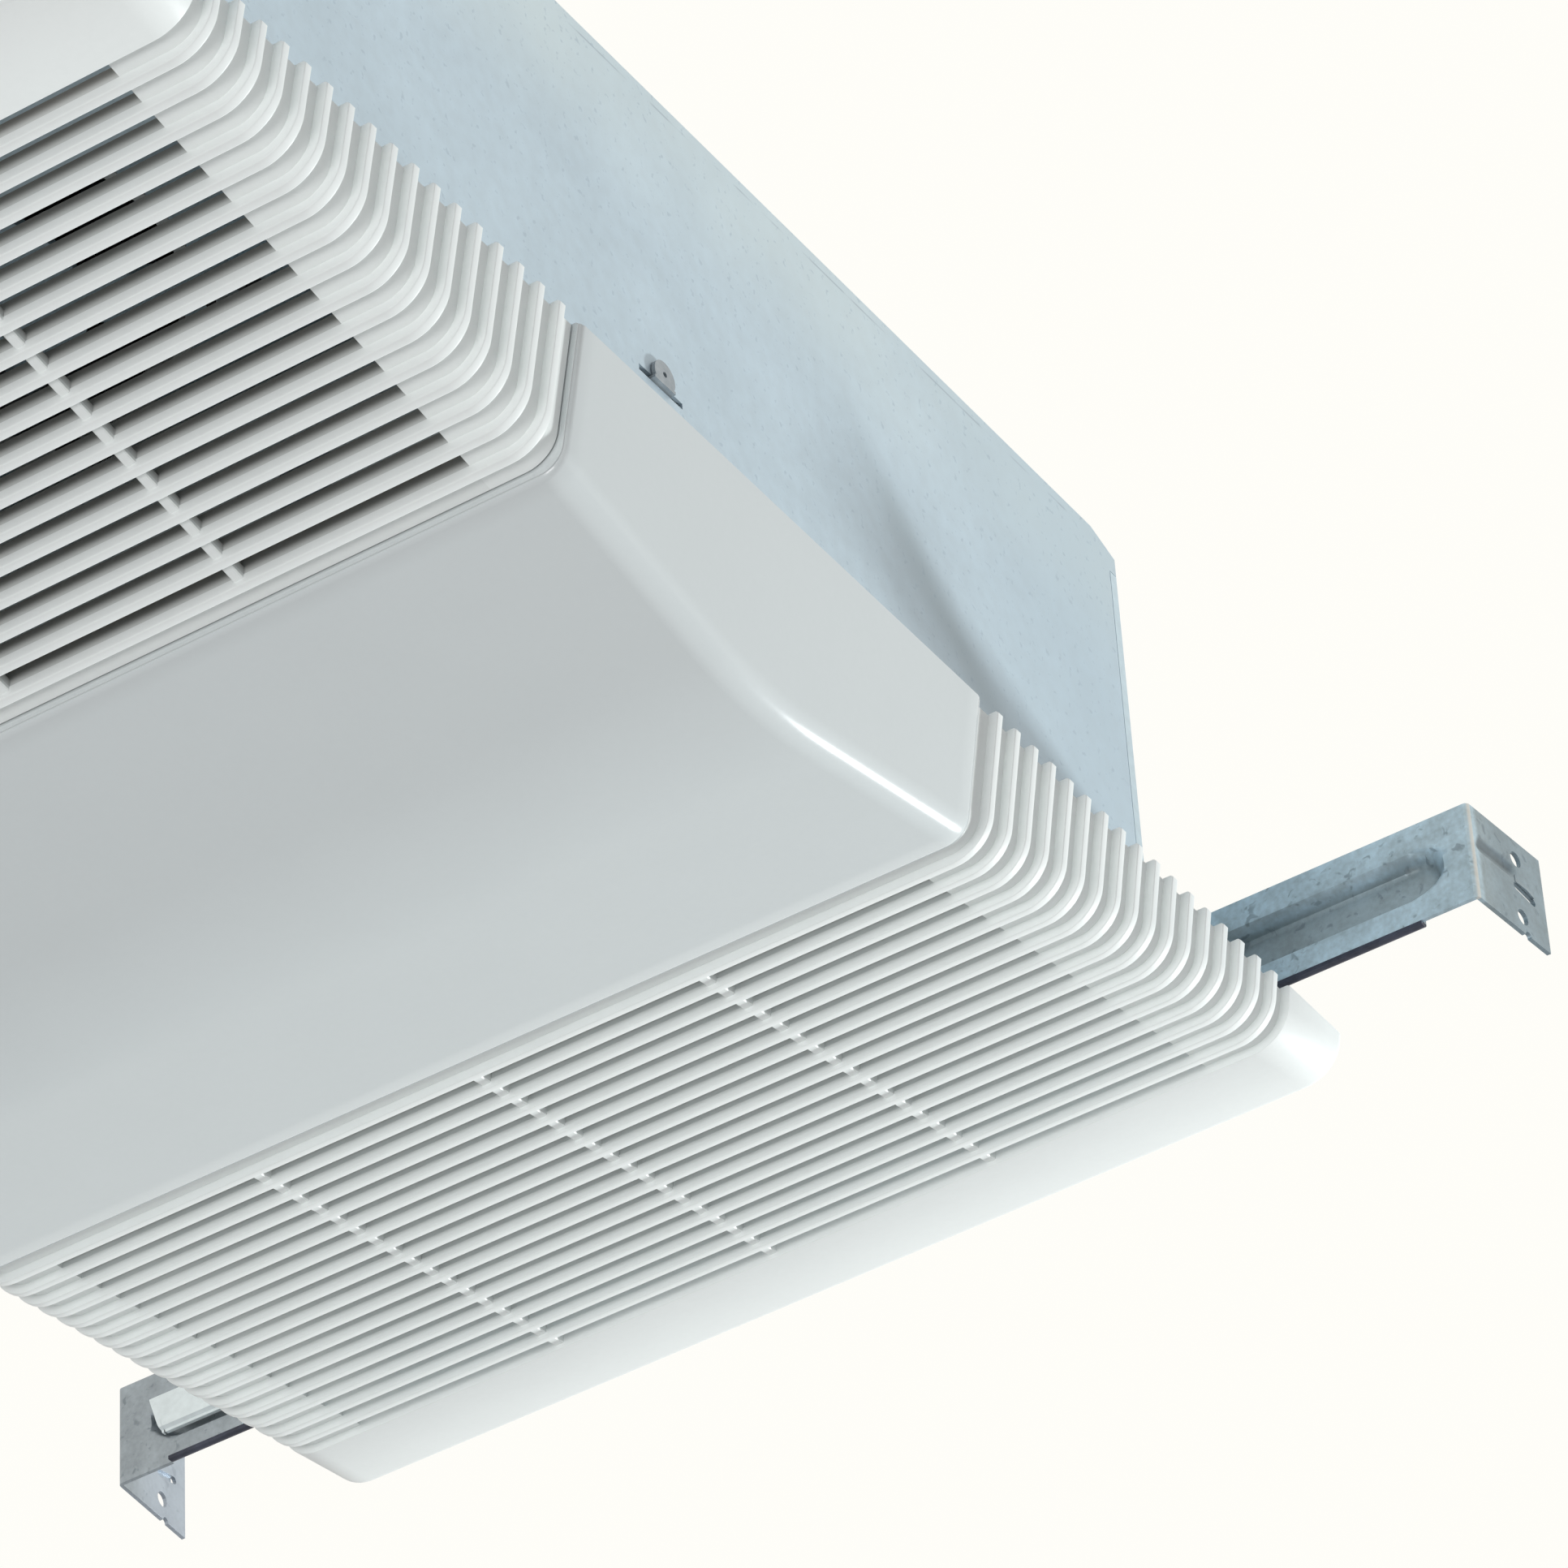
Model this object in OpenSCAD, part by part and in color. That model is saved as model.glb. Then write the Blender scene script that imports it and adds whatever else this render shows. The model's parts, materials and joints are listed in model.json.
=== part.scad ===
// Ceiling exhaust fan with a light: a white louvred grille with a wide lens under a
// galvanised housing that two telescoping hanger bars carry between the joists.
// Millimetres. X runs along the ribs, Y along the length, Z up. Z = 0 is the ceiling
// face that the grille's rim meets, and the origin is the middle of the opening.

/* [Grille] */
// Width across the rim, along the ribs
grille_w = 273; // [262:1:290]
// Length of the grille
grille_l = 443; // [440:1:460]
// Lean of the side walls from upright, in degrees
wall_draft = 9.5; // [6:0.5:12]
// Outer radius of the bend from side to bottom
bend_r = 10; // [7:0.5:12]
// Wall of the moulding
skin_t = 2; // [1.6:0.1:2.4]
// Depth of the rib crest beside the lens
crest_depth = 33.8; // [31:0.1:36]
// Rise of each bank towards its end, in degrees
bank_slope = 9.35; // [8:0.05:10]
// Ribs in one bank
rib_count = 17; // [15:1:17]
// Spacing of the ribs
rib_pitch = 7; // [6.8:0.05:7.1]
// Width of one rib
rib_w = 2.1; // [1.8:0.05:2.8]
// Height of a rib over the recess floor
rib_h = 2.3; // [1.8:0.1:2.6]
// Centre of the rib next to the lens, from the middle
first_rib_y = 80; // [79.5:0.1:81]
// Length of a row of slots
slot_row_l = 227.5; // [200:0.5:232]
// Width of the cross ribs that split a row
cross_rib_w = 2.4; // [1.8:0.1:4]
// Distance of the outer cross ribs from the middle
cross_rib_x = 58.1; // [50:0.1:64]

/* [Lens] */
// Length of the lens along the unit
lens_l = 147; // [140:1:150]
// How far the lens stands proud of the recess floor
lens_proud = 2.3; // [1.6:0.1:3]
// Radius of the crown where the two slopes meet
crown_r = 123; // [100:1:180]
// Radius of the bend along the lens's long edges
lens_bend_r = 7; // [4:0.5:10]
// Lens wall
lens_t = 2; // [1.6:0.1:2.6]
// Clearance round the lens
lens_gap = 0.4; // [0.3:0.05:0.8]

/* [Housing] */
// Outside width
housing_w = 215; // [208:1:222]
// Outside length
housing_l = 381; // [376:1:390]
// Outside height above the ceiling face
housing_h = 134; // [132:1:150]
// Galvanised sheet
sheet_t = 0.8; // [0.6:0.1:1]
// Length of the sloped corner at each end of the top
top_corner_l = 10; // [6:1:16]
// Drop of that corner
top_corner_drop = 3.5; // [2:0.5:6]
// Depth of the flange turned in at each end
end_flange = 24; // [20:1:26]
// Height of the slots for the lamp pan's tabs
pan_tab_z = 49; // [45:0.5:52]

/* [Hanger bars] */
// Height of a bar
bar_h = 27; // [25:0.5:29]
// Bottom of a bar above the ceiling face
bar_z = 4; // [3:0.5:8]
// Distance of the bar web from the middle of the unit
bar_y = 201.6; // [201:0.2:207]
// Bar sheet
bar_t = 1; // [0.8:0.1:1.2]
// Reach of the nailing flanges
bar_flange = 28; // [24:1:32]
// Free end of the sliding half, at its flange
slide_end_x = 184.8; // [182:0.2:190]
// Free end of the channel half, at its flange
channel_end_x = 189.4; // [184:0.2:191]
// Clearance between the sliding halves
bar_gap = 0.15; // [0.1:0.05:0.3]
// Radius of a nail hole
nail_r = 2; // [1.6:0.1:2.5]
// Spacing of the two nail holes in a flange
nail_spacing = 16; // [14:0.5:17]
// Distance of the bar guides from the middle
guide_x = 70; // [60:1:90]

/* [Blower] */
// Outside radius of the blower wheel
wheel_r = 65; // [58:0.5:66]
// Height of the blower wheel
wheel_h = 56; // [50:1:56]
// Blades
blade_count = 32; // [20:1:36]
// Radius of the motor body
motor_r = 30; // [26:0.5:32]
// Height of the motor body
motor_h = 42; // [36:1:44]
// Radius of the motor shaft
shaft_r = 4; // [3.5:0.25:4.5]
// Radial clearance of a pin or shaft that turns
running_gap = 0.05; // [0.02:0.01:0.08]
// Radius of the inlet ring
inlet_r = 52; // [48:0.5:53]
// Underside of the blower plate
plate_z = 60.8; // [60:0.2:62]

/* [Duct] */
// Outside radius of the duct collar
collar_r = 49; // [46:0.5:49]
// Length of the round part of the collar
collar_l = 40; // [30:1:50]
// Wall of the collar
collar_t = 1.6; // [1.2:0.1:2]
// Gap round the damper flap
flap_gap = 0.8; // [0.5:0.1:1.2]

/* [Lighting and wiring] */
// Length of the lamp pan
pan_l = 144; // [138:1:146]
// Radius of a lamp's glass
bulb_r = 30; // [27:0.5:30]
// Distance of each lamp from the middle line
lamp_y = 32; // [31:0.5:33]
// Height of the lamps' axis
lamp_z = 12; // [8:0.5:12]
// Radius of the conduit knockouts
knockout_r = 11.1; // [10:0.1:14]

/* [Hidden] */
$fn = 48;
eps = 0.01;
bend_steps = 4;
face_gap = 0.3;

half_w = grille_w / 2;
half_l = grille_l / 2;
slope = tan(bank_slope);
last_rib_y = first_rib_y + (rib_count - 1) * rib_pitch;
slot_w = rib_pitch - rib_w;
band_y = last_rib_y + rib_w / 2 + slot_w;
floor_w = half_w - rib_h / cos(wall_draft);
slot_x = slot_row_l / 2;

lens_y = lens_l / 2;
frame_y = lens_y + lens_gap;
lens_half_w = half_w - face_gap;
frame_depth = 11;
rail_t = 3;
rail_x = floor_w - frame_depth + rail_t / 2;
rail_depth = 10;
lens_edge_depth = floor_depth(lens_y) + lens_proud;
crown_y = crown_r * sin(bank_slope);

house_x = housing_w / 2;
house_y = housing_l / 2;
side_end_y = house_y - 2.8;
end_h = housing_h - top_corner_drop;
inner_x = house_x - sheet_t;
inner_top = housing_h - sheet_t;
corner_low = end_h - sheet_t - 0.1;
tab_w = 7.5;
tab_slot_l = 16;
tab_slot_h = 1.6;
spring_y = house_y - end_flange / 2 - 0.5;
spring_slot_l = 40;
coil_r = 4.6;
spring_z = -floor_depth(spring_y) + skin_t + coil_r + 2.3;
coil_wire = 1.6;
coil_mid = coil_r - coil_wire / 2;
arm_r = coil_wire / 2 - 0.1;
arm_l = 58;
arm_lean = 56;
spring_slot_w = 5.4;
seam_top = end_h - 5;
rivet_r = 1.6;
rivet_z = bar_z + bar_h + 11;
ground_x = 32;
ground_y = house_y - 50.5;
ground_r = 1.8;

// The wheel sits low in the left of the scroll, which blows towards the duct end.
wheel_x = -5;
wheel_y = -house_y + 90.5;
plate_t = 1.2;
scroll_z = plate_z + plate_t;
scroll_gap = 6;
scroll_growth = 34.5;
scroll_start = 245;
scroll_turn = 295;
scroll_t = 0.8;
wheel_z = scroll_z + 8;
hub_z = wheel_z + wheel_h;
motor_z = plate_z;
bracket_t = 2.4;
bracket_r = inlet_r + 10;
grommet_r = 4.5;
blade_chord = 11;

port_x1 = wheel_x + (wheel_r + scroll_gap) * cos(scroll_start) - 2;
port_z0 = scroll_z + 2;
port_z1 = port_z0 + 49;
port_wall = 1.6;
duct_x = -house_x + collar_r + 1.5;
duct_z = housing_h - collar_r - 1.6;
port_x0 = duct_x - 37.5;
taper_l = 18;
collar_y = -house_y - taper_l;
pin_r = 1.5;
pin_z = port_z1 - 4;
pin_y = -house_y - 5.5;
port_mid = (port_x0 + port_x1) / 2;
pin_x0 = port_x0 - 3.1;
pin_x1 = port_x1 + 6.8;
flap_t = 1;
screw_r = 1.4;
motor_screw_r = 1.9;
screw_gap = 0.06;
collar_screw_spots = [[port_x0 + 8, port_z0 - 10.4], [port_x1 - 8, port_z0 - 10.4],
    [port_x0 + 8, port_z1 + 8.5], [port_x1 - 8, port_z1 + 8.5]];

pan_top = pan_tab_z + sheet_t;
pan_y = pan_l / 2;
pan_top_y = pan_y - 22;
pan_x = inner_x - 0.3;
pan_z = 4;
socket_l = 34;
socket_r = 19;
bulb_l = 108;
bulb_neck_r = 13;
cap_r = 13;
socket_end = pan_x - sheet_t;
post_r = 4;
post_x = house_x - 12.5;
post_spots = [[post_x, -20], [post_x, -house_y + 18.5], [-post_x, -12]];
rotor_r = 17;
bearing_r = 8;

box_x = 10;
box_y = house_y - 72.5;
box_z = 76;
knockout_y = house_y - 35.5;
knockout_x = 60;
knockout_z = 105;
cover_screw_x = 82;
cover_screw_y = box_y + 36;

bar_top = bar_z + bar_h;
bead_w = 13;
bead_d = 5;
bead_z = bar_z + bar_h / 2;
lip = 2.4;
channel_free_x = 168.2;
slide_free_x = 178;
slide_web_x = 150;
tongue_step = 1.2;
guide_t = 1.2;
guide_l = 30;
guide_y = bar_y + bar_t + bar_gap - lip - face_gap;
lock_z = bar_top - 4.5;
lock_r = 1.6;

// Depth of the rib crests and of the recess floor at a distance from the middle.
function crest_at(y) = crest_depth - slope * (abs(y) - first_rib_y);
function floor_depth(y) = crest_at(y) - rib_h;

// Depth of the lens: the two slopes run on and meet in a round crown.
function lens_depth(y) =
    abs(y) < crown_y
    ? lens_edge_depth + slope * (lens_y - crown_y) + sqrt(crown_r * crown_r - y * y)
        - crown_r * cos(bank_slope)
    : lens_edge_depth + slope * (lens_y - abs(y));

// Right half of a U section: down the leaning side, round the bend.
function u_half(w, d, r) =
    let (turn = 90 - wall_draft, run = r * tan(turn / 2))
    let (cx = w - d * tan(wall_draft) - run, cy = -d + r)
    [for (k = [0 : bend_steps])
        [cx + r * cos(-wall_draft - turn * k / bend_steps),
            cy + r * sin(-wall_draft - turn * k / bend_steps)]];

function mirror_x(points) =
    [for (k = [len(points) - 1 : -1 : 0]) [-points[k][0], points[k][1]]];

module u_outline(w, d, r, lift = 0) {
    half = u_half(w, d, r);
    polygon(concat([[w + lift * tan(wall_draft), lift]], half, mirror_x(half),
        [[-w - lift * tan(wall_draft), lift]]));
}

// A slab of thickness along Y, centred on y, from an outline drawn in X and Z.
module slab(y, thick) {
    translate([0, y + thick / 2, 0]) rotate([90, 0, 0]) linear_extrude(thick) children();
}

module tube(r_out, r_in, h) {
    difference() {
        cylinder(r = r_out, h = h);
        translate([0, 0, -1]) cylinder(r = r_in, h = h + 2);
    }
}

module box(x0, x1, y0, y1, z0, z1) {
    translate([x0, y0, z0]) cube([x1 - x0, y1 - y0, z1 - z0]);
}

// Pan-head screw, point down, seated with its head's underside at z = 0.
module screw(r, l, head_r, head_h) {
    translate([0, 0, -l]) cylinder(r = r, h = l + eps);
    difference() {
        cylinder(r = head_r, h = head_h);
        translate([-head_r, -0.5, head_h - 0.8]) cube([2 * head_r, 1, 1]);
        translate([-0.5, -head_r, head_h - 0.8]) cube([1, 2 * head_r, 1]);
    }
}

// Housing

function corner_z(y) = end_h + (house_y - y) * top_corner_drop / top_corner_l;

module side_outline(inset, past) {
    top = housing_h - inset;
    foot = corner_z(house_y + past) - inset;
    polygon([[-house_y - past, -past], [house_y + past, -past], [house_y + past, foot],
        [house_y - top_corner_l, top], [-house_y + top_corner_l, top],
        [-house_y - past, foot]]);
}

module housing_shell() {
    color("lightsteelblue")
    difference() {
        rotate([90, 0, 90]) linear_extrude(housing_w, center = true) side_outline(0, 0);
        rotate([90, 0, 90]) linear_extrude(2 * inner_x, center = true)
            side_outline(sheet_t, 1);
        for (side = [-1, 1]) {
            translate([side * house_x, 0, pan_tab_z + sheet_t / 2])
                cube([4, tab_slot_l, tab_slot_h], center = true);
            for (end = [-1, 1])
                translate([side * (house_x - 0.4), end * house_y, seam_top / 2 - 1])
                    cube([4, 2 * (house_y - side_end_y), seam_top + 2], center = true);
        }
        translate([knockout_x, knockout_y, inner_top - 1])
            cylinder(r = knockout_r, h = 4);
        translate([ground_x, ground_y, inner_top - 1]) cylinder(r = ground_r, h = 4);
    }
}

// End plate at positive Y: web, turned-in bottom flange and the flanges inside the sides.
module end_plate() {
    y = house_y - sheet_t;
    difference() {
        union() {
            box(-house_x, house_x, y, house_y, 0, seam_top - 0.2);
            box(-inner_x, inner_x, y, house_y, 0, end_h - sheet_t);
            box(-inner_x + sheet_t, inner_x - sheet_t, house_y - end_flange, house_y, 0, sheet_t);
            for (side = [-1, 1]) {
                box(side > 0 ? inner_x - sheet_t : -inner_x,
                    side > 0 ? inner_x : -inner_x + sheet_t,
                    house_y - 14, house_y, 0, seam_top - 2);
                box(side > 0 ? inner_x - sheet_t : -house_x,
                    side > 0 ? house_x : -inner_x + sheet_t,
                    side_end_y + 0.2, house_y, 0, seam_top - 0.2);
            }
        }
        translate([0, spring_y, 0])
            cube([spring_slot_l, spring_slot_w, 4], center = true);
        for (side = [-1, 1]) for (dx = [-9, 9])
            translate([side * guide_x + dx, house_y, rivet_z]) rotate([90, 0, 0])
                cylinder(r = rivet_r + screw_gap, h = 4, center = true);
    }
}

module end_plate_wiring() {
    color("lightsteelblue")
    difference() {
        end_plate();
        translate([knockout_x, house_y, knockout_z]) rotate([90, 0, 0])
            cylinder(r = knockout_r, h = 4, center = true);
        translate([knockout_x - 2.8 * knockout_r, house_y, knockout_z]) rotate([90, 0, 0])
            cylinder(r = knockout_r, h = 4, center = true);
    }
}

module end_plate_duct() {
    color("lightsteelblue")
    difference() {
        rotate([0, 0, 180]) end_plate();
        box(port_x0, port_x1, -house_y - 1, -house_y + 2, port_z0, port_z1);
        for (spot = collar_screw_spots)
            translate([spot[0], -house_y, spot[1]]) rotate([90, 0, 0])
                cylinder(r = screw_r + screw_gap, h = 4, center = true);
    }
}

module knockout_disc() {
    cylinder(r = knockout_r - 0.4, h = sheet_t);
    for (a = [0, 180]) rotate([0, 0, a])
        translate([0, -1, 0]) cube([knockout_r, 2, sheet_t]);
}

module knockout_discs() {
    color("lightsteelblue") {
        translate([knockout_x, house_y, knockout_z]) rotate([90, 0, 0]) knockout_disc();
        translate([knockout_x, knockout_y, inner_top]) knockout_disc();
    }
}

// Duct

module duct_collar() {
    color("gainsboro")
    difference() {
        union() {
            hull() {
                box(port_x0 - port_wall, port_x1 + port_wall, -house_y - 2, -house_y,
                    port_z0 - port_wall, port_z1 + port_wall);
                translate([duct_x, collar_y, duct_z]) rotate([90, 0, 0])
                    cylinder(r = collar_r, h = 0.5, $fn = 32);
            }
            translate([duct_x, collar_y, duct_z]) rotate([90, 0, 0])
                cylinder(r = collar_r, h = collar_l, $fn = 96);
            box(port_x0 - 3, port_x1 + 6, -house_y - 2, -house_y, port_z0 - 13.6, port_z1 + 12);
        }
        hull() {
            box(port_x0, port_x1, -house_y - 2, -house_y + 1, port_z0, port_z1);
            translate([duct_x, collar_y, duct_z]) rotate([90, 0, 0])
                cylinder(r = collar_r - collar_t, h = 0.5, $fn = 32);
        }
        translate([duct_x, collar_y, duct_z]) rotate([90, 0, 0])
            cylinder(r = collar_r - collar_t, h = collar_l + 1, $fn = 96);
        translate([port_mid, pin_y, pin_z]) rotate([0, 90, 0])
            cylinder(r = pin_r + 0.01, h = 140, center = true);
        for (spot = collar_screw_spots)
            translate([spot[0], -house_y, spot[1]]) rotate([90, 0, 0])
                cylinder(r = screw_r + screw_gap, h = 6, center = true);
    }
}

module damper_pin() {
    color("silver")
    translate([pin_x0, pin_y, pin_z]) rotate([0, 90, 0])
        cylinder(r = pin_r, h = pin_x1 - pin_x0);
}

module damper_flap() {
    color("whitesmoke")
    difference() {
        union() {
            box(port_x0 + flap_gap, port_x1 - flap_gap, pin_y - flap_t / 2, pin_y + flap_t / 2,
                port_z0 + 1.2, pin_z + pin_r + 1);
            for (x = [port_x0 + 9, port_mid, port_x1 - 9])
                translate([x, pin_y, pin_z]) rotate([0, 90, 0])
                    cylinder(r = pin_r + 1.2, h = 10, center = true);
        }
        translate([port_mid, pin_y, pin_z]) rotate([0, 90, 0])
            cylinder(r = pin_r + running_gap, h = 140, center = true);
    }
}

module collar_screws() {
    color("silver")
    for (spot = collar_screw_spots)
        translate([spot[0], -house_y - 2, spot[1]]) rotate([90, 0, 0])
            screw(screw_r, 5, 2.8, 1.6);
}

// Blower

function scroll_r(a) = wheel_r + scroll_gap + scroll_growth * a / 360;
scroll_steps = 30;
function scroll_points(t) =
    [for (k = [0 : scroll_steps])
        let (a = scroll_turn * k / scroll_steps, r = scroll_r(a) + t)
        [wheel_x + r * cos(scroll_start + a), wheel_y + r * sin(scroll_start + a)]];
function reversed(points) = [for (k = [len(points) - 1 : -1 : 0]) points[k]];

function without_first(points) = [for (k = [1 : len(points) - 1]) points[k]];

module scroll_wrap() {
    end_y = -house_y + sheet_t;
    first = scroll_points(0)[0];
    last = scroll_points(0)[scroll_steps];
    tail_x = first[0] - 1;
    color("lightgray")
    difference() {
        translate([0, 0, scroll_z]) linear_extrude(inner_top - scroll_z)
            polygon(concat([[tail_x, end_y]], scroll_points(0), [[last[0], end_y]],
                [[last[0] - scroll_t, end_y]],
                reversed(without_first(scroll_points(scroll_t))),
                [[first[0] + scroll_t, first[1] - 1.3]], [[tail_x + scroll_t, end_y]]));
        box(-house_x, house_x, -house_y, -house_y + top_corner_l, corner_low, housing_h);
    }
}

module blower_plate() {
    color("silver")
    difference() {
        union() {
            box(-inner_x + sheet_t + 0.2, inner_x - sheet_t - 0.2,
                -house_y + sheet_t, 0, plate_z, scroll_z);
            for (side = [-1, 1])
                box(side > 0 ? inner_x - 3 : -inner_x, side > 0 ? inner_x : -inner_x + 3,
                    -house_y + 40.5, -20, plate_z - 10, scroll_z);
        }
        for (side = [-1, 1])
            box(side > 0 ? inner_x - 3 - 1 : -inner_x + sheet_t,
                side > 0 ? inner_x - sheet_t : -inner_x + 3 + 1,
                -house_y + 39.5, -19, plate_z - 11, plate_z);
        translate([wheel_x, wheel_y, plate_z - 1]) cylinder(r = inlet_r + 3, h = 4);
        for (k = [0 : 2])
            translate([wheel_x, wheel_y, 0]) rotate([0, 0, 30 + 120 * k])
                translate([bracket_r, 0, plate_z - 1])
                    cylinder(r = motor_screw_r + screw_gap, h = 4);
        for (spot = post_spots)
            translate([spot[0], spot[1], plate_z - 1]) cylinder(r = screw_r + screw_gap, h = 4);
    }
}

module blower_posts() {
    color("silver")
    for (spot = post_spots)
        translate([spot[0], spot[1], scroll_z])
            difference() {
                cylinder(r = post_r, h = inner_top - scroll_z);
                translate([0, 0, -1]) cylinder(r = screw_r + screw_gap, h = 16);
            }
}

module post_screws() {
    color("silver")
    for (spot = post_spots)
        translate([spot[0], spot[1], plate_z]) rotate([180, 0, 0]) screw(screw_r, 12, 3, 1.8);
}

module inlet_ring() {
    color("gainsboro")
    translate([wheel_x, wheel_y, scroll_z])
        rotate_extrude($fn = 72)
            {
                translate([inlet_r + 1, 0]) square([7, 1.2]);
                translate([inlet_r, -1.2]) square([1.5, 7]);
                translate([inlet_r, -1.2]) square([2.8, 1.8]);
            }
}

module motor_bracket() {
    color("silver")
    translate([wheel_x, wheel_y, motor_z - bracket_t]) {
        difference() {
            union() {
                cylinder(r = motor_r + 2, h = bracket_t);
                for (k = [0 : 2]) rotate([0, 0, 30 + 120 * k]) {
                    translate([motor_r - 6, -7, 0]) cube([bracket_r - motor_r + 6, 14, bracket_t]);
                    translate([bracket_r, 0, 0]) cylinder(r = 9, h = bracket_t);
                }
            }
            for (k = [0 : 2]) rotate([0, 0, 30 + 120 * k])
                translate([bracket_r, 0, -1]) cylinder(r = grommet_r, h = bracket_t + 2);
            for (k = [0 : 2]) rotate([0, 0, 90 + 120 * k])
                translate([motor_r / 2 + 3, 0, -1]) cylinder(r = 5, h = bracket_t + 2);
            translate([0, 0, -1]) cylinder(r = shaft_r + 2, h = bracket_t + 2);
        }
    }
}

module motor_grommets() {
    color("dimgray")
    for (k = [0 : 2])
        translate([wheel_x, wheel_y, 0]) rotate([0, 0, 30 + 120 * k])
            translate([bracket_r, 0, motor_z - bracket_t - 1.5])
                difference() {
                    union() {
                        cylinder(r = grommet_r, h = bracket_t + 1.5);
                        cylinder(r = grommet_r + 2, h = 1.5);
                    }
                    translate([0, 0, -1]) cylinder(r = motor_screw_r + screw_gap, h = bracket_t + 4);
                }
}

module motor_screws() {
    color("silver")
    for (k = [0 : 2])
        translate([wheel_x, wheel_y, 0]) rotate([0, 0, 30 + 120 * k])
            translate([bracket_r, 0, motor_z - bracket_t - 1.5]) rotate([180, 0, 0])
                screw(motor_screw_r, bracket_t + 5, 3.6, 1.8);
}

module motor_body() {
    color("darkgray")
    translate([wheel_x, wheel_y, motor_z])
        difference() {
            union() {
                cylinder(r = motor_r, h = motor_h, $fn = 72);
                cylinder(r = motor_r + 1.5, h = 2, $fn = 72);
            }
            translate([0, 0, 2]) tube(motor_r - 2, bearing_r, 6);
            translate([0, 0, 8]) cylinder(r = motor_r - 2, h = motor_h, $fn = 72);
            translate([0, 0, 3]) cylinder(r = shaft_r + running_gap, h = 6);
        }
}

module motor_stator() {
    color("sienna")
    translate([wheel_x, wheel_y, motor_z + 9]) tube(motor_r - 2, rotor_r + 0.5, 21);
}

module motor_rotor() {
    color("gray")
    translate([wheel_x, wheel_y, motor_z + 9]) tube(rotor_r, shaft_r, 21);
}

module motor_end_cap() {
    color("gray")
    translate([wheel_x, wheel_y, motor_z + motor_h])
        difference() {
            union() {
                translate([0, 0, -8]) cylinder(r = bearing_r, h = 9);
                cylinder(r = motor_r, h = 1.6, $fn = 72);
                cylinder(r = 11, h = 4);
            }
            translate([0, 0, -9]) cylinder(r = shaft_r + running_gap, h = 15);
            for (k = [0 : 5]) rotate([0, 0, 60 * k])
                translate([19, 0, -1]) cylinder(r = 3, h = 4);
        }
}

module motor_shaft() {
    color("silver")
    translate([wheel_x, wheel_y, motor_z + 3.5]) cylinder(r = shaft_r, h = hub_z - motor_z);
}

module blower_wheel() {
    blade_r = wheel_r - blade_chord;
    color("lightsteelblue")
    translate([wheel_x, wheel_y, wheel_z])
        difference() {
            union() {
                tube(wheel_r, blade_r + 4, 1.6);
                translate([0, 0, wheel_h - 1.6]) cylinder(r = wheel_r, h = 1.6);
                translate([0, 0, wheel_h - 12]) cylinder(r = 9, h = 12);
                for (k = [0 : blade_count - 1]) rotate([0, 0, k * 360 / blade_count])
                    translate([blade_r, 0, 0.8]) rotate([0, 0, 28])
                        translate([0, -0.5, 0]) cube([blade_chord, 1, wheel_h - 1.6]);
            }
            translate([0, 0, -1]) cylinder(r = shaft_r, h = wheel_h + 2);
        }
}

module wheel_clip() {
    color("silver")
    translate([wheel_x, wheel_y, hub_z])
        difference() {
            cylinder(r = 7, h = 1.2);
            translate([0, 0, -1]) cylinder(r = shaft_r, h = 4);
        }
}

// Lighting

module pan_outline(inset, low) {
    polygon([[-pan_y + inset, low], [pan_y - inset, low],
        [pan_top_y - inset * 0.6, pan_top - inset], [-pan_top_y + inset * 0.6, pan_top - inset]]);
}

module lamp_pan() {
    color("white")
    difference() {
        union() {
            rotate([90, 0, 90]) linear_extrude(2 * pan_x, center = true) pan_outline(0, pan_z);
            for (side = [-1, 1]) {
                box(side > 0 ? 60 : -house_x - 1.2, side > 0 ? house_x + 1.2 : -60,
                    -tab_w / 2, tab_w / 2, pan_tab_z, pan_top);
                translate([side * (house_x + 0.75), 0, pan_tab_z + 2.6]) rotate([0, 90, 0])
                    cylinder(r = tab_w / 2, h = 0.9, center = true);
            }
        }
        rotate([90, 0, 90]) linear_extrude(2 * (pan_x - sheet_t), center = true)
            pan_outline(sheet_t, pan_z - 1);
        translate([0, 0, pan_tab_z + 3]) rotate([0, 90, 0])
            cylinder(r = 0.7, h = housing_w + 10, center = true);
        for (side = [-1, 1])
            translate([side * (house_x + 0.75), 0, pan_tab_z - 3]) cube([2, 20, 6], center = true);
    }
}

module socket(side) {
    color("ivory")
    translate([side * socket_end, side * lamp_y, lamp_z]) rotate([0, -side * 90, 0])
        difference() {
            union() {
                cylinder(r = socket_r, h = socket_l);
                translate([0, 0, 0]) cylinder(r = socket_r + 3, h = 3);
            }
            translate([0, 0, 6]) cylinder(r = cap_r + 0.6, h = socket_l);
        }
}

module socket_left() { socket(-1); }
module socket_right() { socket(1); }

module bulb(side) {
    color("white")
    translate([side * (socket_end - socket_l), side * lamp_y, lamp_z]) rotate([0, -side * 90, 0]) {
        rotate_extrude($fn = 64)
            polygon(concat([[0, 0], [bulb_neck_r - 0.6, 0], [bulb_neck_r + 1, 14],
                [bulb_neck_r + 5, 28]],
                [for (a = [-25 : 10 : 85])
                    [bulb_r * cos(a), bulb_l - socket_l - bulb_r + 8 + bulb_r * sin(a)]],
                [[0, bulb_l - socket_l + 8]]));
    }
}

module lamp_left() { bulb(-1); }
module lamp_right() { bulb(1); }

module lamp_caps() {
    color("silver")
    for (side = [-1, 1])
        translate([side * (socket_end - 7), side * lamp_y, lamp_z]) rotate([0, -side * 90, 0])
            cylinder(r = cap_r, h = socket_l - 7);
}

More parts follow.
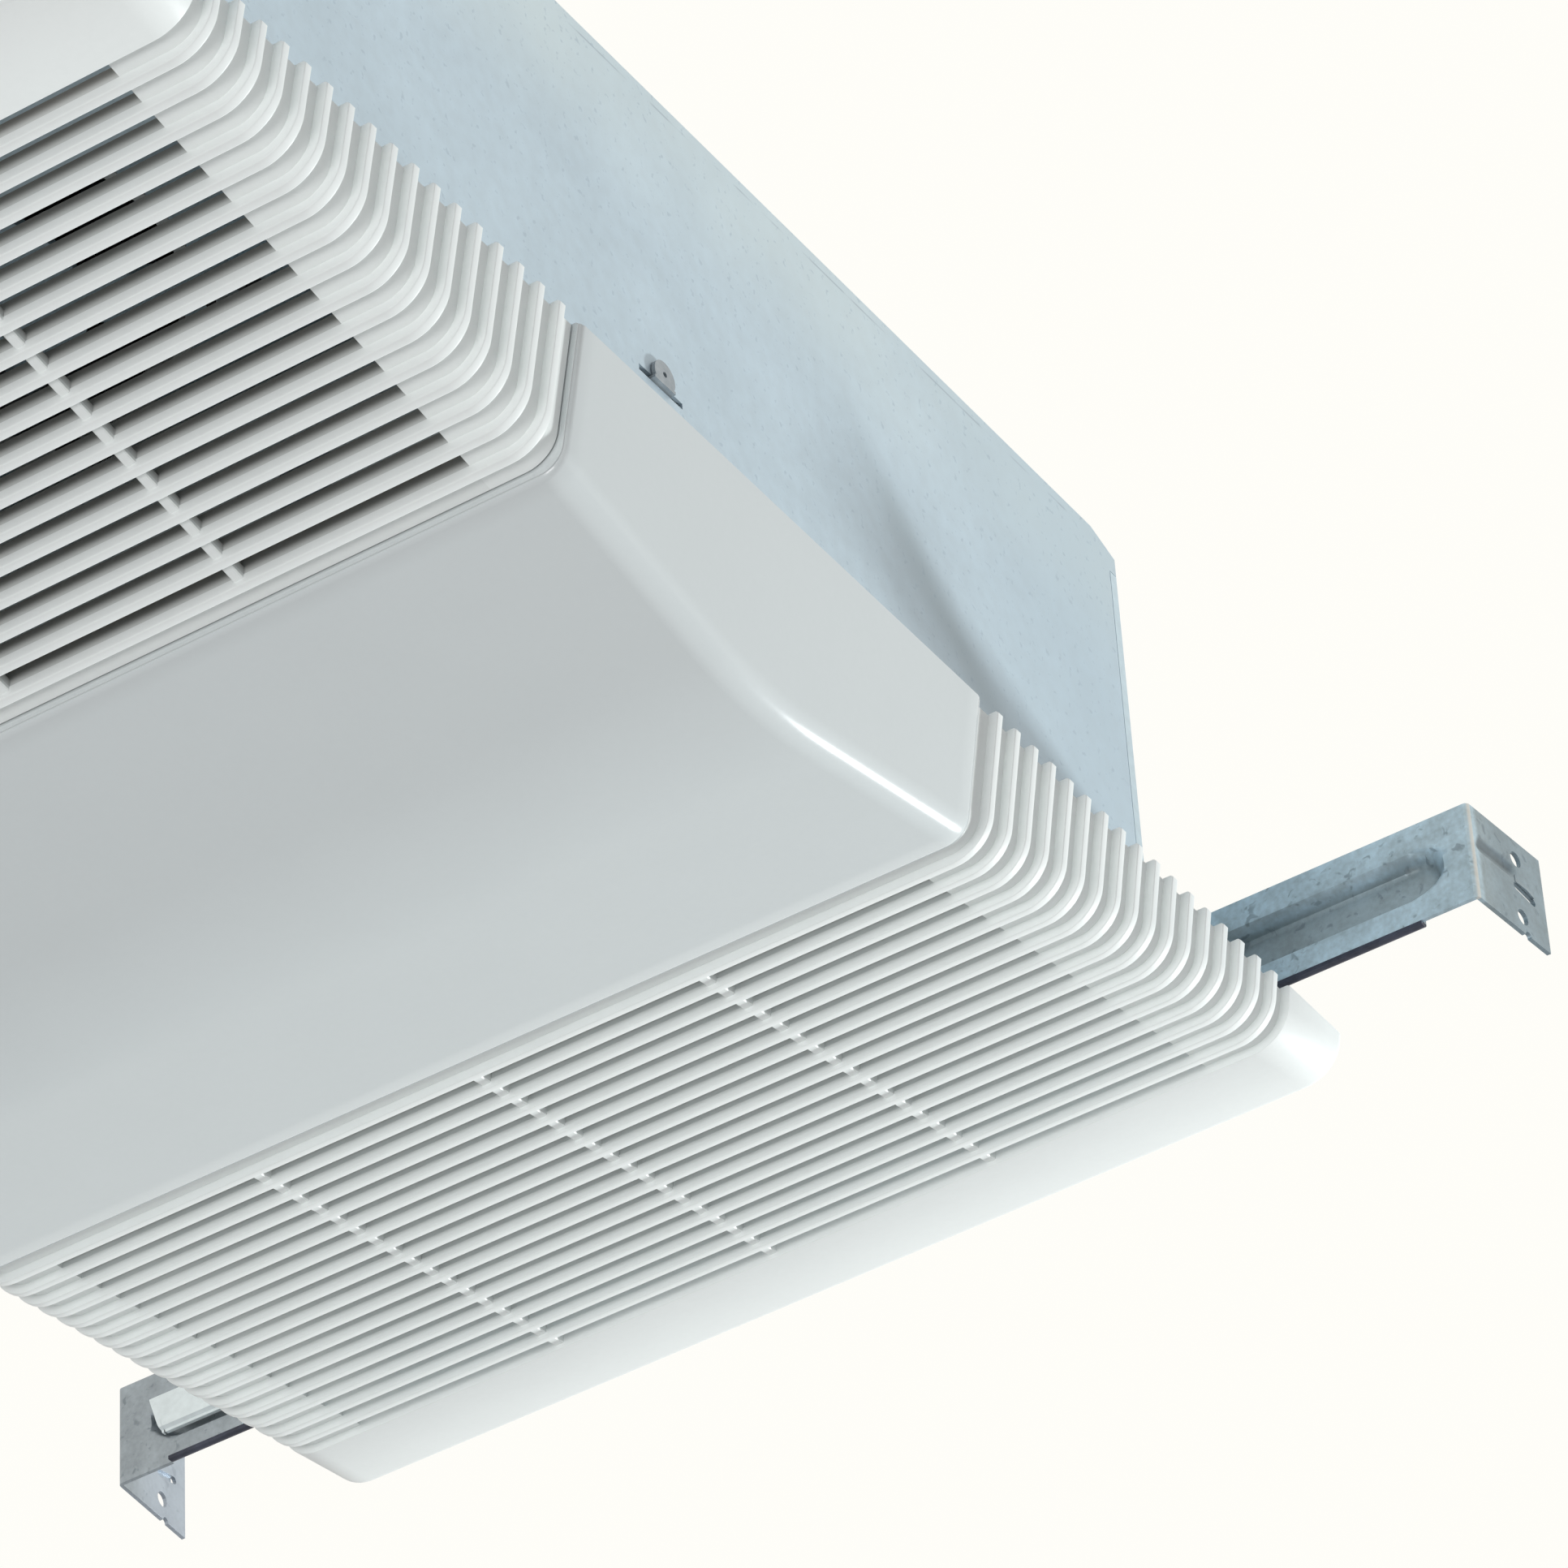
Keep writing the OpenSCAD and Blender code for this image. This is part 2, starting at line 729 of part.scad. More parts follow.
// Wiring

module wiring_cover() {
    color("lightsteelblue") {
        difference() {
            box(box_x, inner_x - sheet_t, box_y, house_y - sheet_t, box_z, box_z + sheet_t);
            translate([cover_screw_x, cover_screw_y, box_z - 1])
                cylinder(r = screw_r + screw_gap, h = 4);
        }
        difference() {
            box(box_x, inner_x - sheet_t, box_y, box_y + sheet_t, box_z, inner_top);
            box(box_x + 13, box_x + 37, box_y - 1, box_y + 2, box_z + 13, box_z + 41);
            box(box_x + 49, box_x + 73, box_y - 1, box_y + 2, box_z + 13, box_z + 41);
        }
        box(box_x, box_x + sheet_t, box_y, house_y - sheet_t, box_z, corner_low);
        box(box_x, box_x + sheet_t, box_y, house_y - top_corner_l, box_z, inner_top);
    }
}

module receptacle(x0) {
    difference() {
        union() {
            box(x0 + 0.4, x0 + 23.6, box_y - 3, box_y + 18, box_z + 13.4, box_z + 40.6);
            box(x0 - 2, x0 + 26, box_y - 3, box_y, box_z + 11, box_z + 43);
        }
        box(x0 + 5, x0 + 19, box_y - 4, box_y + 8, box_z + 17, box_z + 37);
    }
}

module fan_receptacle() { color("white") receptacle(box_x + 13); }
module light_receptacle() { color("saddlebrown") receptacle(box_x + 49); }

module plug(x0) {
    box(x0 + 5.4, x0 + 18.6, box_y - 3, box_y + 6, box_z + 17.4, box_z + 36.6);
    box(x0 + 2, x0 + 22, box_y - 19, box_y - 3.2, box_z + 14, box_z + 40);
    box(x0 + 5.4, x0 + 18.6, box_y - 4, box_y - 2, box_z + 17.4, box_z + 36.6);
}

module fan_plug() { color("white") plug(box_x + 13); }
module light_plug() { color("saddlebrown") plug(box_x + 49); }

// Wire of round section through a list of points.
module wire(points, r) {
    for (k = [0 : len(points) - 2]) {
        d = points[k + 1] - points[k];
        translate(points[k]) rotate([0, acos(d[2] / norm(d)), atan2(d[1], d[0])])
            cylinder(r = r, h = norm(d), $fn = 12);
    }
    for (k = [1 : len(points) - 2]) translate(points[k]) sphere(r = 1.04 * r, $fn = 12);
}

plug_z = box_z + 27;
motor_lead_route = [[box_x + 25, box_y - 19, plug_z], [box_x + 25, box_y - 33, plug_z],
    [20, 60, 70], [10, 8, 57], [wheel_x, -55, 54],
    [wheel_x, wheel_y + 27, motor_z - 6.5], [wheel_x, wheel_y + 18, motor_z - 5],
    [wheel_x, wheel_y + 18, motor_z]];
lamp_lead_route = [[box_x + 61, box_y - 19, plug_z], [box_x + 61, box_y - 30, plug_z],
    [84, 76, 66], [88, 52, 57], [88, 30, 57], [88, 30, pan_top]];

module motor_leads() { color("black") wire(motor_lead_route, 2.5); }
module lamp_leads() { color("black") wire(lamp_lead_route, 2.2); }

module ground_screw() {
    color("green")
    translate([ground_x, ground_y, inner_top]) rotate([180, 0, 0])
        screw(ground_r, sheet_t, 3.6, 2);
}

module cover_screw() {
    color("silver")
    translate([cover_screw_x, cover_screw_y, box_z]) rotate([180, 0, 0])
        screw(screw_r, 5, 3, 1.6);
}

// Hanger bars

// Web with a pressed bead, drawn in Y and Z for the bar at positive Y.
module bar_section(y, z0, z1, half, depth) {
    difference() {
        polygon([[y, z0], [y + bar_t, z0], [y + bar_t, bead_z - half - 1],
            [y + bar_t + depth, bead_z - half + 2.4], [y + bar_t + depth, bead_z + half - 2.4],
            [y + bar_t, bead_z + half + 1], [y + bar_t, z1], [y, z1]]);
        polygon([[y - eps, bead_z - half], [y + depth, bead_z - half + 3.2],
            [y + depth, bead_z + half - 3.2], [y - eps, bead_z + half]]);
    }
}

module along_x(x0, x1) {
    translate([x0, 0, 0]) rotate([90, 0, 90]) linear_extrude(x1 - x0) children();
}

// Nailing flange in the YZ plane at x, with two nail holes and a lanced nail slot.
module nail_flange(x, y, low) {
    y1 = y + bar_flange;
    hole_y = y + 0.62 * bar_flange;
    difference() {
        box(x - bar_t / 2, x + bar_t / 2, y, y1, low, bar_top);
        for (s = [-1, 1])
            translate([x, hole_y, bead_z + s * nail_spacing / 2]) rotate([0, 90, 0])
                cylinder(r = nail_r, h = 3 * bar_t, center = true);
        translate([x, hole_y + 2, bead_z]) rotate([40, 0, 0])
            cube([3 * bar_t, 8, 2], center = true);
    }
}

module bar_channel() {
    y = bar_y + bar_t + bar_gap;
    x0 = -channel_end_x;
    color("lightsteelblue") {
        along_x(x0 + 10, channel_free_x) bar_section(y, bar_z, bar_top, bead_w / 2, bead_d);
        box(x0, x0 + 10 + eps, y, y + bar_t, bar_z, bar_top);
        for (z = [bar_z, bar_top - bar_t])
            box(x0 + 12, channel_free_x, y - lip, y + eps, z, z + bar_t);
        nail_flange(x0 + bar_t / 2, y, bar_z);
    }
}

module bar_slide() {
    z0 = bar_z + bar_t + bar_gap;
    z1 = bar_top - bar_t - bar_gap;
    x1 = slide_end_x;
    color("lightsteelblue") {
        along_x(-slide_web_x, x1 - 14)
            bar_section(bar_y, z0, z1, bead_w / 2 - 1.6, bead_d - 0.6);
        box(-slide_free_x, -slide_web_x + eps, bar_y - tongue_step,
            bar_y - tongue_step + bar_t, bead_z - 4.4, bead_z + 5.2);
        box(-slide_free_x, -slide_web_x + eps, bar_y - tongue_step, bar_y + bar_t,
            bead_z - 4.4, bead_z - 3.4);
        box(-slide_free_x, -slide_web_x + eps, bar_y, bar_y + bar_t,
            bead_z - bead_w / 2, bead_z - 3.4);
        box(x1 - 14 - eps, x1, bar_y, bar_y + bar_t, z0, z1);
        box(x1 - 10, x1, bar_y, bar_y + bar_t, z0, bar_top);
        nail_flange(x1 - bar_t / 2, bar_y, z0);
    }
}

module front_bar_channel() { bar_channel(); }
module front_bar_slide() { bar_slide(); }
module rear_bar_channel() { rotate([0, 0, 180]) bar_channel(); }
module rear_bar_slide() { rotate([0, 0, 180]) bar_slide(); }

// Strap that stands off the end plate and wraps the bar with clearance all round.
module guide_section() {
    y_in = guide_y;
    y_out = bar_y + 2 * bar_t + bar_gap + face_gap;
    z_lo = bar_z - face_gap;
    z_hi = bar_top + face_gap;
    translate([house_y, z_hi]) square([guide_t, 16]);
    translate([house_y, z_hi]) square([y_out + guide_t - house_y, guide_t]);
    translate([y_in - guide_t, z_lo - guide_t]) square([guide_t, z_hi - z_lo + 2 * guide_t]);
    translate([y_in - guide_t, z_lo - guide_t]) square([y_out - y_in + 2 * guide_t, guide_t]);
    translate([y_out, z_lo - guide_t]) square([guide_t, 5]);
    translate([y_out, z_hi - 3.8]) square([guide_t, 5]);
}

module bar_guides() {
    color("lightgray")
    for (side = [-1, 1])
        difference() {
            along_x(side * guide_x - guide_l / 2, side * guide_x + guide_l / 2)
                guide_section();
            for (dx = [-9, 9])
                translate([side * guide_x + dx, house_y, rivet_z]) rotate([90, 0, 0])
                    cylinder(r = rivet_r + screw_gap, h = 6, center = true);
            translate([side * guide_x, guide_y, lock_z]) rotate([90, 0, 0])
                cylinder(r = lock_r + screw_gap, h = 6, center = true);
        }
}

module bar_guides_front() { bar_guides(); }
module bar_guides_rear() { rotate([0, 0, 180]) bar_guides(); }

module guide_rivets() {
    grip = guide_t + sheet_t;
    color("silver")
    for (turn = [0, 180]) rotate([0, 0, turn])
        for (side = [-1, 1]) for (dx = [-9, 9])
            translate([side * guide_x + dx, house_y + guide_t, rivet_z]) rotate([-90, 0, 0]) {
                cylinder(r = 2.6, h = 1.2);
                translate([0, 0, -grip - 1.2]) cylinder(r = rivet_r, h = grip + 1.3);
                translate([0, 0, -grip - 1.2]) cylinder(r = 2.4, h = 1.2);
            }
}

module bar_lock_screws() {
    color("silver")
    for (turn = [0, 180]) rotate([0, 0, turn])
        for (side = [-1, 1])
            translate([side * guide_x, guide_y - guide_t, lock_z]) rotate([90, 0, 0])
                screw(lock_r, bar_y - guide_y + guide_t - running_gap, 3.2, 2);
}

// Grille

// One bank as a smooth solid from y0 to y1, sunk by inset from the rib crests.
module bank_solid(y0, y1, inset) {
    hull()
        for (y = [y0, y1 - 0.1])
            slab(y + 0.05, 0.1)
                u_outline(half_w - inset, crest_at(y) - inset, bend_r - inset, min(inset, 1));
}

// Cuts the skin down between two ribs, and through it along the slots.
module gap_cut(y, width, slotted) {
    d = floor_depth(y);
    slab(y, width) difference() {
        union() {
            difference() {
                translate([-half_w - 5, -d - 12]) square([grille_w + 10, d + 16]);
                u_outline(floor_w, d, bend_r - 1, 6);
            }
            if (slotted) translate([-slot_x, -d - 1]) square([2 * slot_x, skin_t + 2.4]);
        }
        if (slotted)
            for (x = [-cross_rib_x, 0, cross_rib_x])
                translate([x - cross_rib_w / 2, -d - rib_h + 0.4]) square([cross_rib_w, 8]);
    }
}

// Pin between two ears that carries the coil of a torsion spring.
module spring_post() {
    foot = -floor_depth(spring_y) + skin_t - 1.5;
    for (dy = [-4.5, 3])
        box(-5, 5, spring_y + dy, spring_y + dy + 1.5, foot, spring_z + 4);
    translate([0, spring_y + 3.5, spring_z]) rotate([90, 0, 0])
        cylinder(r = coil_r - coil_wire - 0.3, h = 7);
}

module half_grille() {
    edge = first_rib_y - rib_w / 2;
    difference() {
        bank_solid(frame_y, half_l, 0);
        bank_solid(edge, half_l - skin_t, rib_h + skin_t);
        for (k = [0 : rib_count - 1]) gap_cut(first_rib_y + (k + 0.5) * rib_pitch, slot_w, true);
        gap_cut((frame_y + edge) / 2 - 0.5, edge - frame_y + 1, false);
        slab(frame_y, 2 * (edge - frame_y) + 1)
            u_outline(floor_w - frame_depth, floor_depth(edge) - frame_depth, 4, 1);
    }
    spring_post();
}

// Rails that run past the lens and join the two banks.
module lens_rails() {
    for (side = [-1, 1])
        box(side * rail_x - rail_t / 2, side * rail_x + rail_t / 2,
            -frame_y - 1, frame_y + 1, -rail_depth, -0.5);
}

module grille() {
    color("white") {
        half_grille();
        mirror([0, 1, 0]) half_grille();
        lens_rails();
    }
}

module lens_solid(inset, lift) {
    hull()
        for (k = [-6 : 6]) {
            y = (lens_y - inset - 0.05) * k / 6;
            slab(y, 0.1) u_outline(lens_half_w - inset, lens_depth(y) - inset,
                lens_bend_r - inset, lift);
        }
}

module lens() {
    color("white")
    difference() {
        lens_solid(0, 0);
        lens_solid(lens_t, 1);
        for (side = [-1, 1]) for (end = [-1, 1])
            translate([side * rail_x, end * lens_y, 0])
                cube([rail_t + 2 * lens_gap, 6, 2 * (rail_depth + lens_gap)], center = true);
    }
}

// Saddle clips over the lens's end walls, standing on the grille's deep rim.
module lens_clips() {
    clip_t = 0.8;
    clip_x = 0.51 * half_w;
    foot = -floor_depth(first_rib_y - rib_w / 2) + frame_depth + 0.05;
    color("silver")
    for (turn = [0, 180]) rotate([0, 0, turn])
        for (x = [-clip_x, clip_x]) {
            box(x - 6, x + 6, lens_y - lens_t - clip_t, lens_y - lens_t, -20, clip_t);
            box(x - 6, x + 6, lens_y - lens_t - clip_t, lens_y + clip_t, 0, clip_t);
            box(x - 6, x + 6, lens_y, lens_y + clip_t, foot, clip_t);
            box(x - 6, x + 6, lens_y, lens_y + 3, foot, foot + clip_t);
        }
}

// Torsion spring: a close-wound coil and two arms up through the slot, spread wide
// over the end flange to hold the grille up.
module grille_spring() {
    color("silver")
    translate([0, spring_y, spring_z]) {
        rotate([90, 0, 0]) translate([0, 0, -2.4]) tube(coil_r, coil_r - coil_wire, 4.8);
        for (side = [-1, 1])
            translate([side * coil_mid * cos(arm_lean), -side * 1.5,
                -coil_mid * sin(arm_lean)])
                rotate([0, side * arm_lean, 0]) cylinder(r = arm_r, h = arm_l, $fn = 16);
    }
}

module grille_spring_front() { grille_spring(); }
module grille_spring_rear() { rotate([0, 0, 180]) grille_spring(); }

housing_shell();
end_plate_wiring();
end_plate_duct();
duct_collar();
damper_flap();
damper_pin();
scroll_wrap();
blower_plate();
inlet_ring();
motor_bracket();
motor_grommets();
motor_screws();
motor_body();
motor_end_cap();
motor_shaft();
blower_wheel();
wheel_clip();
motor_stator();
motor_rotor();
blower_posts();
lamp_pan();
socket_left();
socket_right();
lamp_left();
lamp_right();
lamp_caps();
wiring_cover();
fan_receptacle();
light_receptacle();
fan_plug();
light_plug();
motor_leads();
lamp_leads();
ground_screw();
cover_screw();
knockout_discs();
post_screws();
collar_screws();
bar_guides_front();
bar_guides_rear();
guide_rivets();
bar_lock_screws();
front_bar_channel();
front_bar_slide();
rear_bar_channel();
rear_bar_slide();
grille();
lens();
lens_clips();
grille_spring_front();
grille_spring_rear();
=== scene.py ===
import json
import math

import bmesh
import bpy
from mathutils import Matrix, Vector


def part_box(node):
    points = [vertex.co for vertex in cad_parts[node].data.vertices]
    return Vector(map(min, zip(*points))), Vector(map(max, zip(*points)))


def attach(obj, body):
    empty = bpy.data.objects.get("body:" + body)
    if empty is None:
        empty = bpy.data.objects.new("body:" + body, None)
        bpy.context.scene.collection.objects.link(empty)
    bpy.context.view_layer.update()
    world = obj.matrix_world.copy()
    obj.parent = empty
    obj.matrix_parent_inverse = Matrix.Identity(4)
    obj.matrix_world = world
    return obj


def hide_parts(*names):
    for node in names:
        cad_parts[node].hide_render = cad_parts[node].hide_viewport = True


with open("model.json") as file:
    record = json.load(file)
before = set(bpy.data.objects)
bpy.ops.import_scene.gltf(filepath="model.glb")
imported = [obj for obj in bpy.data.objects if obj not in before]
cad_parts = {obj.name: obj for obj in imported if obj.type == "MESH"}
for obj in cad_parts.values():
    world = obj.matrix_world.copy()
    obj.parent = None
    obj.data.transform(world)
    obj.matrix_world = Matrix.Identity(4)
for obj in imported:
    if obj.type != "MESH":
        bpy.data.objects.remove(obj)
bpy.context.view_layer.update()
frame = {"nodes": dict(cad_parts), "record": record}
MM = 0.001

# Driving sizes of the grille, in metres; a drop is how far a surface lies inside the crests
grille_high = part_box("grille")[1]
HALF_W = grille_high.x
HALF_L = grille_high.y
DRAFT = math.radians(9.5)
SLOPE_ANGLE = math.radians(9.35)
SLOPE = math.tan(SLOPE_ANGLE)
BEND_R = 10 * MM
LEAST_BEND_R = 2 * MM
BEND_STEPS = 9
SKIN_T = 2 * MM
CREST_DEPTH = 33.8 * MM
RIB_COUNT = 17
RIB_PITCH = 7 * MM
RIB_W = 2.1 * MM
RIB_H = 2.3 * MM
FIRST_RIB_Y = 80 * MM
SLOT_X = 113.75 * MM
CROSS_RIB_X = 58.1 * MM
CROSS_RIB_W = 2.4 * MM
CROSS_RIB_DROP = 1.25 * MM
CROSS_RIB_EDGE = 0.25 * MM
EDGE_R = 0.3 * MM
EDGE_STEPS = 3
WAIST = 0.3 * MM
BLADE_T = 3.9 * MM
BLADE_INSET = WAIST + 0.06 * MM
SKIN_LAP = 0.7 * MM
FRAME_T = 9 * MM
FRAME_LAP = 0.2 * MM
BAND_CORNER = 2.5 * MM
BAND_STEPS = 5
END_INSET = 0.02 * MM
RAIL_IN = 11 * MM
RAIL_W = 3 * MM
RAIL_Z = (-10 * MM, -0.5 * MM)
FLOOR_DROP = RIB_H
UNDER_DROP = RIB_H + SKIN_T
BLADE_DROP = RIB_H + BLADE_T

# Rounded rim of the grille and the lens, as the way in from the side and z
RIM = ((0.5 * MM, 0.0), (0.08 * MM, -0.45 * MM))

# Driving sizes of the lens
lens_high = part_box("lens")[1]
LENS_W = lens_high.x
LENS_Y = lens_high.y
LENS_R = 6.5 * MM
LENS_T = 2 * MM
LENS_EDGE = 1.8 * MM
LENS_GAP = 0.4 * MM
LENS_STEPS = 36
LENS_END_INSET = 0.05 * MM
LENS_END_DROP = 0.7 * MM
CROWN_R = 123 * MM
CROWN_Y = CROWN_R * math.sin(SLOPE_ANGLE)

# Driving sizes of the hanger bars
channel_low, channel_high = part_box("front_bar_channel")
slide_low, slide_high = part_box("front_bar_slide")
BAR_T = 1 * MM
BAR_LOW = channel_low.z
BAR_TOP = channel_high.z
BEAD_Z = (BAR_LOW + BAR_TOP) / 2
TONGUE_PROUD = 1.2 * MM
BAR_Y = slide_low.y + TONGUE_PROUD
CHANNEL_GAP = 1.15 * MM
CHANNEL_Y = BAR_Y + CHANNEL_GAP
FLANGE = 28 * MM
BEND = 1.2 * MM
SPLAY = 2.2 * MM
STEP_X = 104.6 * MM
STEP_W = 0.05 * MM
LIP_START = 18 * MM
LIP_END_X = 168.2 * MM
TOP_LIP_END_X = 98 * MM
LIP_FLAT = 0.5 * MM
LIP_INSIDE_R = 0.05 * MM
TOP_LIP_REACH = 1.15 * MM
LOW_LIP_REACH = 1.3 * MM
CHANNEL_EDGE = 0.9 * MM
SLIDE_EDGE = 1.15 * MM
SHEARED_EDGE = 0.16 * MM
WEB_ROWS = 40
FLANGE_ROWS = 20
BEND_ARC = [math.pi / 2 * k / 4 for k in range(5)]
LIP_ARC = [math.pi / 2 * k / 3 for k in range(4)]

# Pressed beads of the bars, as start, end, half width and depth, and the groove pressed
# in their nailing flanges
CHANNEL_BEAD = (-167 * MM, 400 * MM, 7 * MM, 4.6 * MM)
SLIDE_BEAD = (-400 * MM, 165 * MM, 6.6 * MM, 4 * MM)
BEAD_FLANK = 2.6 * MM
BEAD_END = 0.62
CREASE_Z = BAR_LOW + 17 * MM
CREASE_REACH = (3.5 * MM, 15 * MM)
CREASE_FLANK = 2.4 * MM
CREASE_DEPTH = 0.9 * MM

# Nail holes, nail slot, edge notch and lance of the flanges
NAIL_REACH = 0.64 * FLANGE
NAIL_RISE = 8 * MM
NAIL_R = 2 * MM
NAIL_SLOT_REACH = NAIL_REACH + 2 * MM
NAIL_SLOT_Z = BEAD_Z - 0.5 * MM
NAIL_SLOT_HALF = 3.2 * MM
NAIL_SLOT_R = 1 * MM
SLIDE_SLOT_LEAN = math.radians(-9)
CHANNEL_SLOT_LEAN = math.radians(13)
NOTCH_REACH = NAIL_REACH + 1.5 * MM
NOTCH_R = 1.1 * MM
CUT_HALF = 4 * MM
CIRCLE_STEPS = 20
ROUND_STEPS = 6
LANCE_RISE = ((-3.6 * MM, 0.12 * MM), (0, 0.55 * MM), (3.2 * MM, 0.36 * MM))
LANCE_FOOT = ((3.2 * MM, -0.05 * MM), (3.2 * MM, -0.4 * MM))
LANCE_T = 0.35 * MM
LANCE_UNDER = -0.3 * MM
SLIDE_LANCE_TOP = 1 * MM
CHANNEL_LANCE_TOP = -1.2 * MM

# Free end of the sliding half. Its section runs (up from the bead's middle, in from the web)
# in millimetres, and so do the depth of its dent and the dent's two ends on the section.
TONGUE_SECTION = ((5.2, -0.6), (4.9, -1.0), (4.2, -1.2), (0.5, -1.2), (-3.2, -1.2), (-4.0, -0.9),
                  (-4.3, -0.3), (-4.6, 0.0), (-5.3, 0.0))
TONGUE_X = (-176.4 * MM, -175.4 * MM, -149 * MM)
TONGUE_TIP_X = -174.9 * MM
TONGUE_SKEW = 0.3 * MM
DENT_X = -171.5 * MM
DENT_HALF = 2.4 * MM
DENT_DEPTH = 0.7
DENT_FROM, DENT_TO = -0.5, 4.5


# Meshes

def add_faces(bm, rings):
    """Joins closed rings of equal length with quads, and closes both ends."""
    grid = [[bm.verts.new(p) for p in ring] for ring in rings]
    count = len(rings[0])
    for a, b in zip(grid, grid[1:]):
        for k in range(count):
            n = (k + 1) % count
            bm.faces.new((a[k], a[n], b[n], b[k]))
    bm.faces.new(list(reversed(grid[0])))
    bm.faces.new(grid[-1])


def new_object(name, bm):
    """Turns a bmesh into an object in the scene, with its faces outwards."""
    bmesh.ops.recalc_face_normals(bm, faces=bm.faces)
    mesh = bpy.data.meshes.new(name)
    bm.to_mesh(mesh)
    bm.free()
    obj = bpy.data.objects.new(name, mesh)
    bpy.context.scene.collection.objects.link(obj)
    return obj


def finish_mesh(name, bm, finish, smooth=40):
    """Turns a bmesh into a shaded object; edges sharper than smooth degrees stay sharp."""
    obj = new_object(name, bm)
    obj.data.shade_smooth()
    obj.data.set_sharp_from_angle(angle=math.radians(smooth))
    obj.data.materials.append(finish)
    return obj


def box_rings(x0, x1, y0, y1, z0, z1):
    """Two rings of a box, for add_faces."""
    return [
        [Vector((x, y0, z0)), Vector((x, y1, z0)), Vector((x, y1, z1)), Vector((x, y0, z1))]
        for x in (x0, x1)
    ]


def u_points(half, depth, radius):
    """Right half of a U section as (x, z): down the leaning side and round the bend."""
    turn = math.pi / 2 - DRAFT
    cx = half - depth * math.tan(DRAFT) - radius * math.tan(turn / 2)
    points = [(half - inward, z) for inward, z in RIM]
    for k in range(BEND_STEPS + 1):
        a = -DRAFT - turn * k / BEND_STEPS
        points.append((cx + radius * math.cos(a), -depth + radius + radius * math.sin(a)))
    return points


def u_path(half, depth, radius):
    """The whole U section, from the right rim to the left rim."""
    right = u_points(half, depth, radius)
    return right + [(-x, z) for x, z in reversed(right)]


def sweep_u(bm, stations):
    """Closed solid whose section loop runs through stations (y, half, depth, radius)."""
    paths = [[(x, y, z) for x, z in u_path(h, d, r)] for y, h, d, r in stations]
    add_faces(bm, [list(loop) for loop in zip(*paths)])


def u_slab(bm, y0, y1, half, depth, radius):
    """Solid slab with a U outline and a flat top."""
    outline = u_path(half, depth, radius)
    add_faces(bm, [[Vector((x, y, z)) for x, z in outline] for y in (y0, y1)])


def crest(y):
    """Depth of the ribs' crests below the rim."""
    return CREST_DEPTH - SLOPE * (abs(y) - FIRST_RIB_Y)


def outer(y, inset=0.0):
    """Station on the crest surface, sunk by inset."""
    return (y, HALF_W - inset, crest(y) - inset, max(BEND_R - inset, LEAST_BEND_R))


def rounded(y0, y1, surface, radius, under, waist=0.0, waist_drop=0.0):
    """Section loop from under the skin, up to the crest with rounded edges, and back."""
    edge = []
    for k in range(EDGE_STEPS + 1):
        a = math.pi / 2 * k / EDGE_STEPS
        edge.append((radius * (1 - math.cos(a)), radius * (1 - math.sin(a))))
    loop = [surface(y0 + waist, under)]
    if waist:
        loop += [surface(y0 + waist, waist_drop + waist), surface(y0, waist_drop)]
    loop += [surface(y0 + along, drop) for along, drop in edge]
    loop += [surface(y1 - along, drop) for along, drop in reversed(edge)]
    if waist:
        loop += [surface(y1, waist_drop), surface(y1 - waist, waist_drop + waist)]
    loop.append(surface(y1 - waist, under))
    return loop


def rib_edges(k):
    """Where rib k starts and ends along Y."""
    y = FIRST_RIB_Y + k * RIB_PITCH
    return y - RIB_W / 2, y + RIB_W / 2


def add_rib(bm, k):
    """Rib k, round the whole U, and the blade under it between the slots."""
    y0, y1 = rib_edges(k)
    sweep_u(bm, rounded(y0, y1, outer, EDGE_R, UNDER_DROP, WAIST, FLOOR_DROP))
    low, high = y0 + BLADE_INSET, y1 - BLADE_INSET
    outline = ((low, FLOOR_DROP + MM), (low, BLADE_DROP),
               (high, BLADE_DROP), (high, FLOOR_DROP + MM))
    reach = SLOT_X + MM
    add_faces(bm, [
        [Vector((x, y, drop - crest(y))) for y, drop in outline] for x in (-reach, reach)
    ])


def add_gap(bm, y0, y1):
    """Skin between two ribs: closed at the sides, with cross ribs over the slots."""
    ys = (y0 - SKIN_LAP, y1 + SKIN_LAP)
    ends = []
    for y in ys:
        for drop in (FLOOR_DROP, UNDER_DROP):
            _, half, depth, radius = outer(y, drop)
            path = u_points(half, depth, radius) + [(SLOT_X, -depth)]
            ends.append([(x, y, z) for x, z in path])
    loop = [ends[0], ends[2], ends[3], ends[1]]
    for side in (1, -1):
        add_faces(bm, [[(side * x, y, z) for x, y, z in ring] for ring in zip(*loop)])
    corners = [(0, UNDER_DROP), (0, CROSS_RIB_DROP + CROSS_RIB_EDGE),
               (CROSS_RIB_EDGE, CROSS_RIB_DROP)]
    section = [(-1, inset, drop) for inset, drop in corners]
    section += [(1, inset, drop) for inset, drop in reversed(corners)]
    for x in (-CROSS_RIB_X, 0.0, CROSS_RIB_X):
        add_faces(bm, [
            [Vector((x + side * (CROSS_RIB_W / 2 - inset), y, drop - crest(y)))
             for side, inset, drop in section]
            for y in ys
        ])


